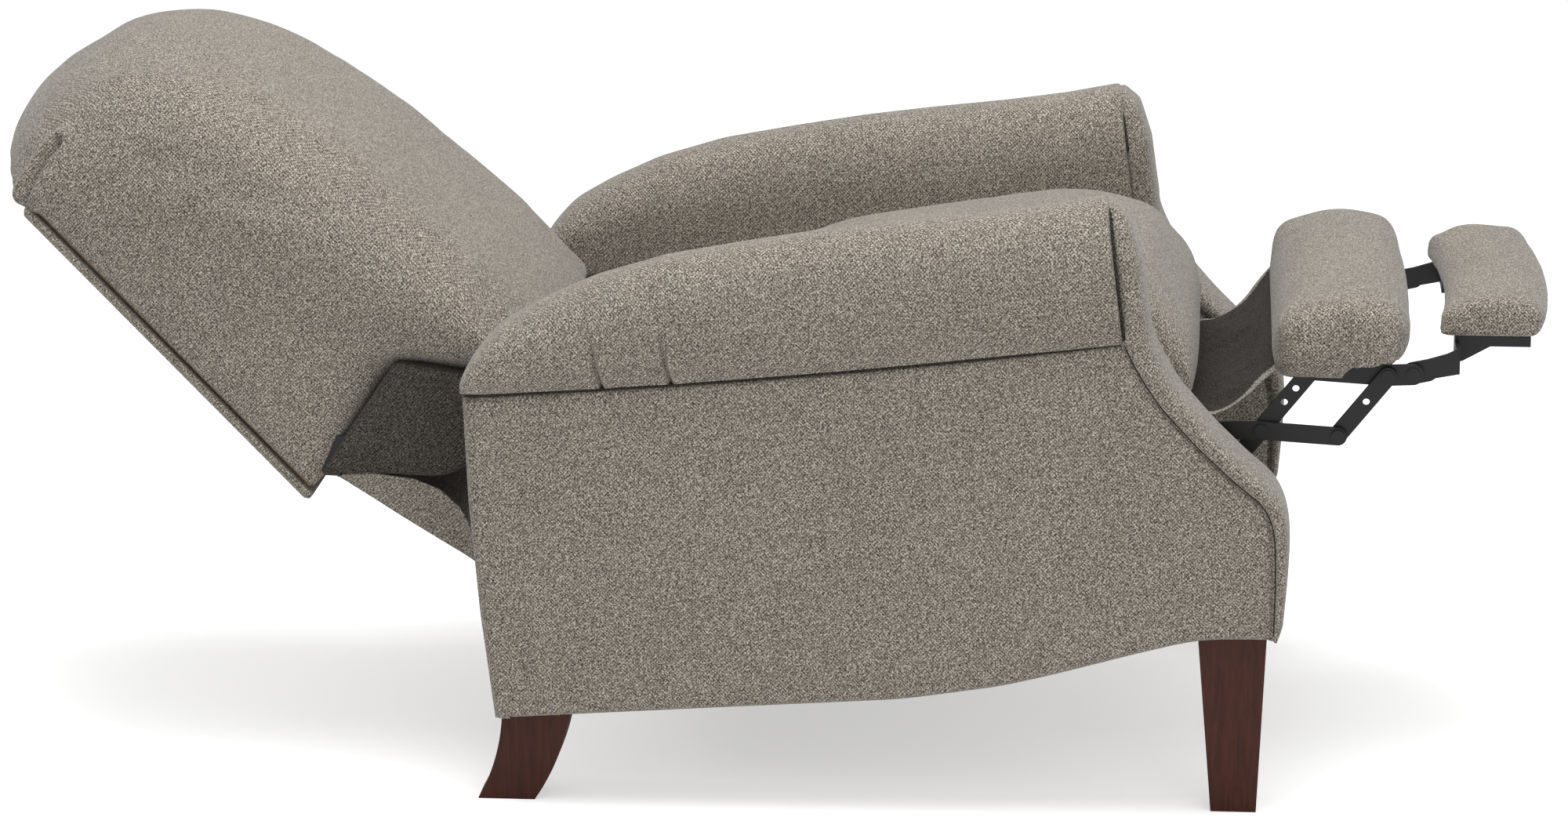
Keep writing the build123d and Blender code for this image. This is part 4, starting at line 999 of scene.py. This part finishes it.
def painted_steel(name, dark, light, roughness, metal):
    """Flat bar stock: a little cloudy in colour, with a faint orange-peel bump and rubbed gloss."""
    material, tree, shader, add = finish_base(name, {"Roughness": roughness, "Metallic": metal})
    place = add("ShaderNodeTexCoord").outputs["Object"]
    cloud = add("ShaderNodeTexNoise", [("Vector", place)], Scale=60.0, Detail=4.0)
    peel = add("ShaderNodeTexNoise", [("Vector", place)], Scale=900.0, Detail=2.0)
    colour = ramp(add, cloud.outputs["Fac"], [(0.35, dark), (0.7, light)])
    tree.links.new(colour.outputs["Color"], shader.inputs["Base Color"])
    gloss = add("ShaderNodeMapRange", [("Value", cloud.outputs["Fac"])],
                **{"To Min": roughness - 0.08, "To Max": roughness + 0.1})
    tree.links.new(gloss.outputs["Result"], shader.inputs["Roughness"])
    bump = add("ShaderNodeBump", [("Height", peel.outputs["Fac"])], Strength=0.06, Distance=0.0003)
    tree.links.new(bump.outputs["Normal"], shader.inputs["Normal"])
    return material


leg_wood = timber("espresso_wood", (50, 20, 11), (80, 35, 21), (190, 190, 14))
frame_wood = timber("frame_wood", (150, 116, 78), (196, 160, 116), (12, 160, 160))
black_steel = painted_steel("black_painted_steel", (11, 11, 12), (20, 20, 22), 0.4, 0.0)
bare_steel = painted_steel("bare_steel", (120, 120, 122), (165, 165, 168), 0.35, 1.0)
webbing = woven("back_webbing_weave", 0.55)
print("finishes", sorted(material.name for material in bpy.data.materials))

# %% Which node wears which finish
# The lining slot wears the cover darkened as painted shade.
finish_of_slot = {"upholstery": cover, "lining": cover_painted_shade, "leg_wood": leg_wood, "frame_wood": frame_wood,
                  "black_steel": black_steel, "bare_steel": bare_steel}
slot_of_node = {part["node"]: part["material_slot"] for part in frame["record"]["subparts"]}
for name, node in nodes.items():
    node.data.materials.clear()
    node.data.materials.append(webbing if name == "back_webbing" else finish_of_slot[slot_of_node[name]])
print("slots", sorted(set(slot_of_node.values())), len(slot_of_node), "nodes")

# %% [markdown]
# ## Putting the pieces on their bodies
# Each cover rides on the body that carries it and stands for its plain solid; the apron and the
# flap ride on no body.

# %% Ride and replace
def dress(piece, material, body=None, stands_for=()):
    """Gives a piece its finish, its body and the nodes it stands for."""
    piece.data.materials.clear()
    piece.data.materials.append(material)
    if body:
        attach(piece, body)
    if stands_for:
        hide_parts(*stands_for)


dress(back_cushion, cover, "back", ["back_cushion"])
dress(outside_back_cover, cover, "back", ["outside_back_panel"])
# The pull-through wears the cover darkened as painted shade of its cavity.
dress(pull_through, cover_painted_shade, "back", ["lower_inside_back"])
dress(seat_cushion, cover, "seat", ["seat_cushion"])
dress(leg_pad, cover, "leg_rest", ["leg_rest_pad"])
dress(foot_pad, cover, "foot_rest", ["foot_pad"])
for side, (panel, inside, rear, roll, facing, seams) in arm_pieces.items():
    dress(panel, cover, "base", [f"outside_arm_panel_{side}"])
    dress(inside, cover, "base")
    dress(rear, cover, "base")
    # The welts' dark colour is painted shade of the seam grooves.
    dress(seams, seam_cloth_painted_shade, "base")
    dress(roll, cover, "base", [f"arm_roll_{side}"])
    dress(facing, cover, "base", [f"arm_facing_{side}"])
dress(apron, cover, None, ["rear_apron"])
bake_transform(apron)
# The flap wears the cover darkened as painted shade.
dress(flap, cover_flap_painted_shade, None, ["leg_rest_flap"])
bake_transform(flap)

# %% [markdown]
# ## Floor, light and camera
# A plain pale floor and big soft lamps, as for a catalogue picture. The camera looks at the
# chair's right side, turned a little towards its front and downwards, with a long lens.

# %% Studio
def studio_floor():
    """A white floor that shows as white to the camera and keeps the shadow."""
    size = 12.0
    corners = [(-size, -size, 0), (size, -size, 0), (size, size, 0), (-size, size, 0)]
    floor = put_mesh("floor", corners, [[0, 1, 2, 3]])
    material, tree, shader, add = finish_base("floor_paint", {
        "Roughness": 0.9, "Base Color": (0.93, 0.93, 0.93, 1), "Emission Color": (1, 1, 1, 1)})
    seen = calc(add, "MULTIPLY", add("ShaderNodeLightPath").outputs["Is Camera Ray"], 0.5)
    tree.links.new(seen, shader.inputs["Emission Strength"])
    floor.data.materials.append(material)


studio_floor()
world = bpy.data.worlds.new("studio")
scene.world = world
world.use_nodes = True
sky = world.node_tree.nodes["Background"]
sky.inputs["Color"].default_value = (1, 1, 1, 1)
light_path = world.node_tree.nodes.new("ShaderNodeLightPath")
level = world.node_tree.nodes.new("ShaderNodeMapRange")
level.inputs["To Min"].default_value = 0.5
level.inputs["To Max"].default_value = 1.0
world.node_tree.links.new(light_path.outputs["Is Camera Ray"], level.inputs["Value"])
world.node_tree.links.new(level.outputs["Result"], sky.inputs["Strength"])


def soft_lamp(name, place, aim, size, power):
    """A square area lamp at place, turned to aim."""
    lamp = bpy.data.lights.new(name, "AREA")
    lamp.shape = "SQUARE"
    lamp.size = size
    lamp.energy = power
    stand = bpy.data.objects.new(name, lamp)
    stand.location = place
    back = np.array(place, float) - np.array(aim, float)
    tilt = np.arctan2(np.hypot(back[0], back[1]), back[2])
    stand.rotation_euler = (tilt, 0, np.arctan2(back[0], -back[1]))
    scene.collection.objects.link(stand)


soft_lamp("top_lamp", (0.2, -0.5, 3.4), (0, 0, 0.4), 2.6, 90)
soft_lamp("front_lamp", (1.4, -3.6, 2.4), (0, 0, 0.4), 2.2, 18)
print("lamps", [lamp.name for lamp in bpy.data.lights])

# %% Camera
AZIMUTH, ELEVATION, DISTANCE = np.radians(4.5), np.radians(13.2), 5.8
SENSOR = 36.0
FOCAL = 7090 / 2000  # focal length as a share of the picture's width
aim = np.array([-0.0001, 0.0, 0.324])
back_way = np.array([np.sin(AZIMUTH) * np.cos(ELEVATION), -np.cos(AZIMUTH) * np.cos(ELEVATION),
                     np.sin(ELEVATION)])
eye = bpy.data.cameras.new("camera")
eye.lens = SENSOR * FOCAL
eye.sensor_width = SENSOR
camera = bpy.data.objects.new("camera", eye)
camera.location = aim + DISTANCE * back_way
camera.rotation_euler = (np.pi / 2 - ELEVATION, 0, AZIMUTH)
scene.collection.objects.link(camera)
scene.camera = camera
scene.view_settings.view_transform = "Standard"
print("camera at", camera.location, "with a lens of", round(eye.lens, 1), "mm")
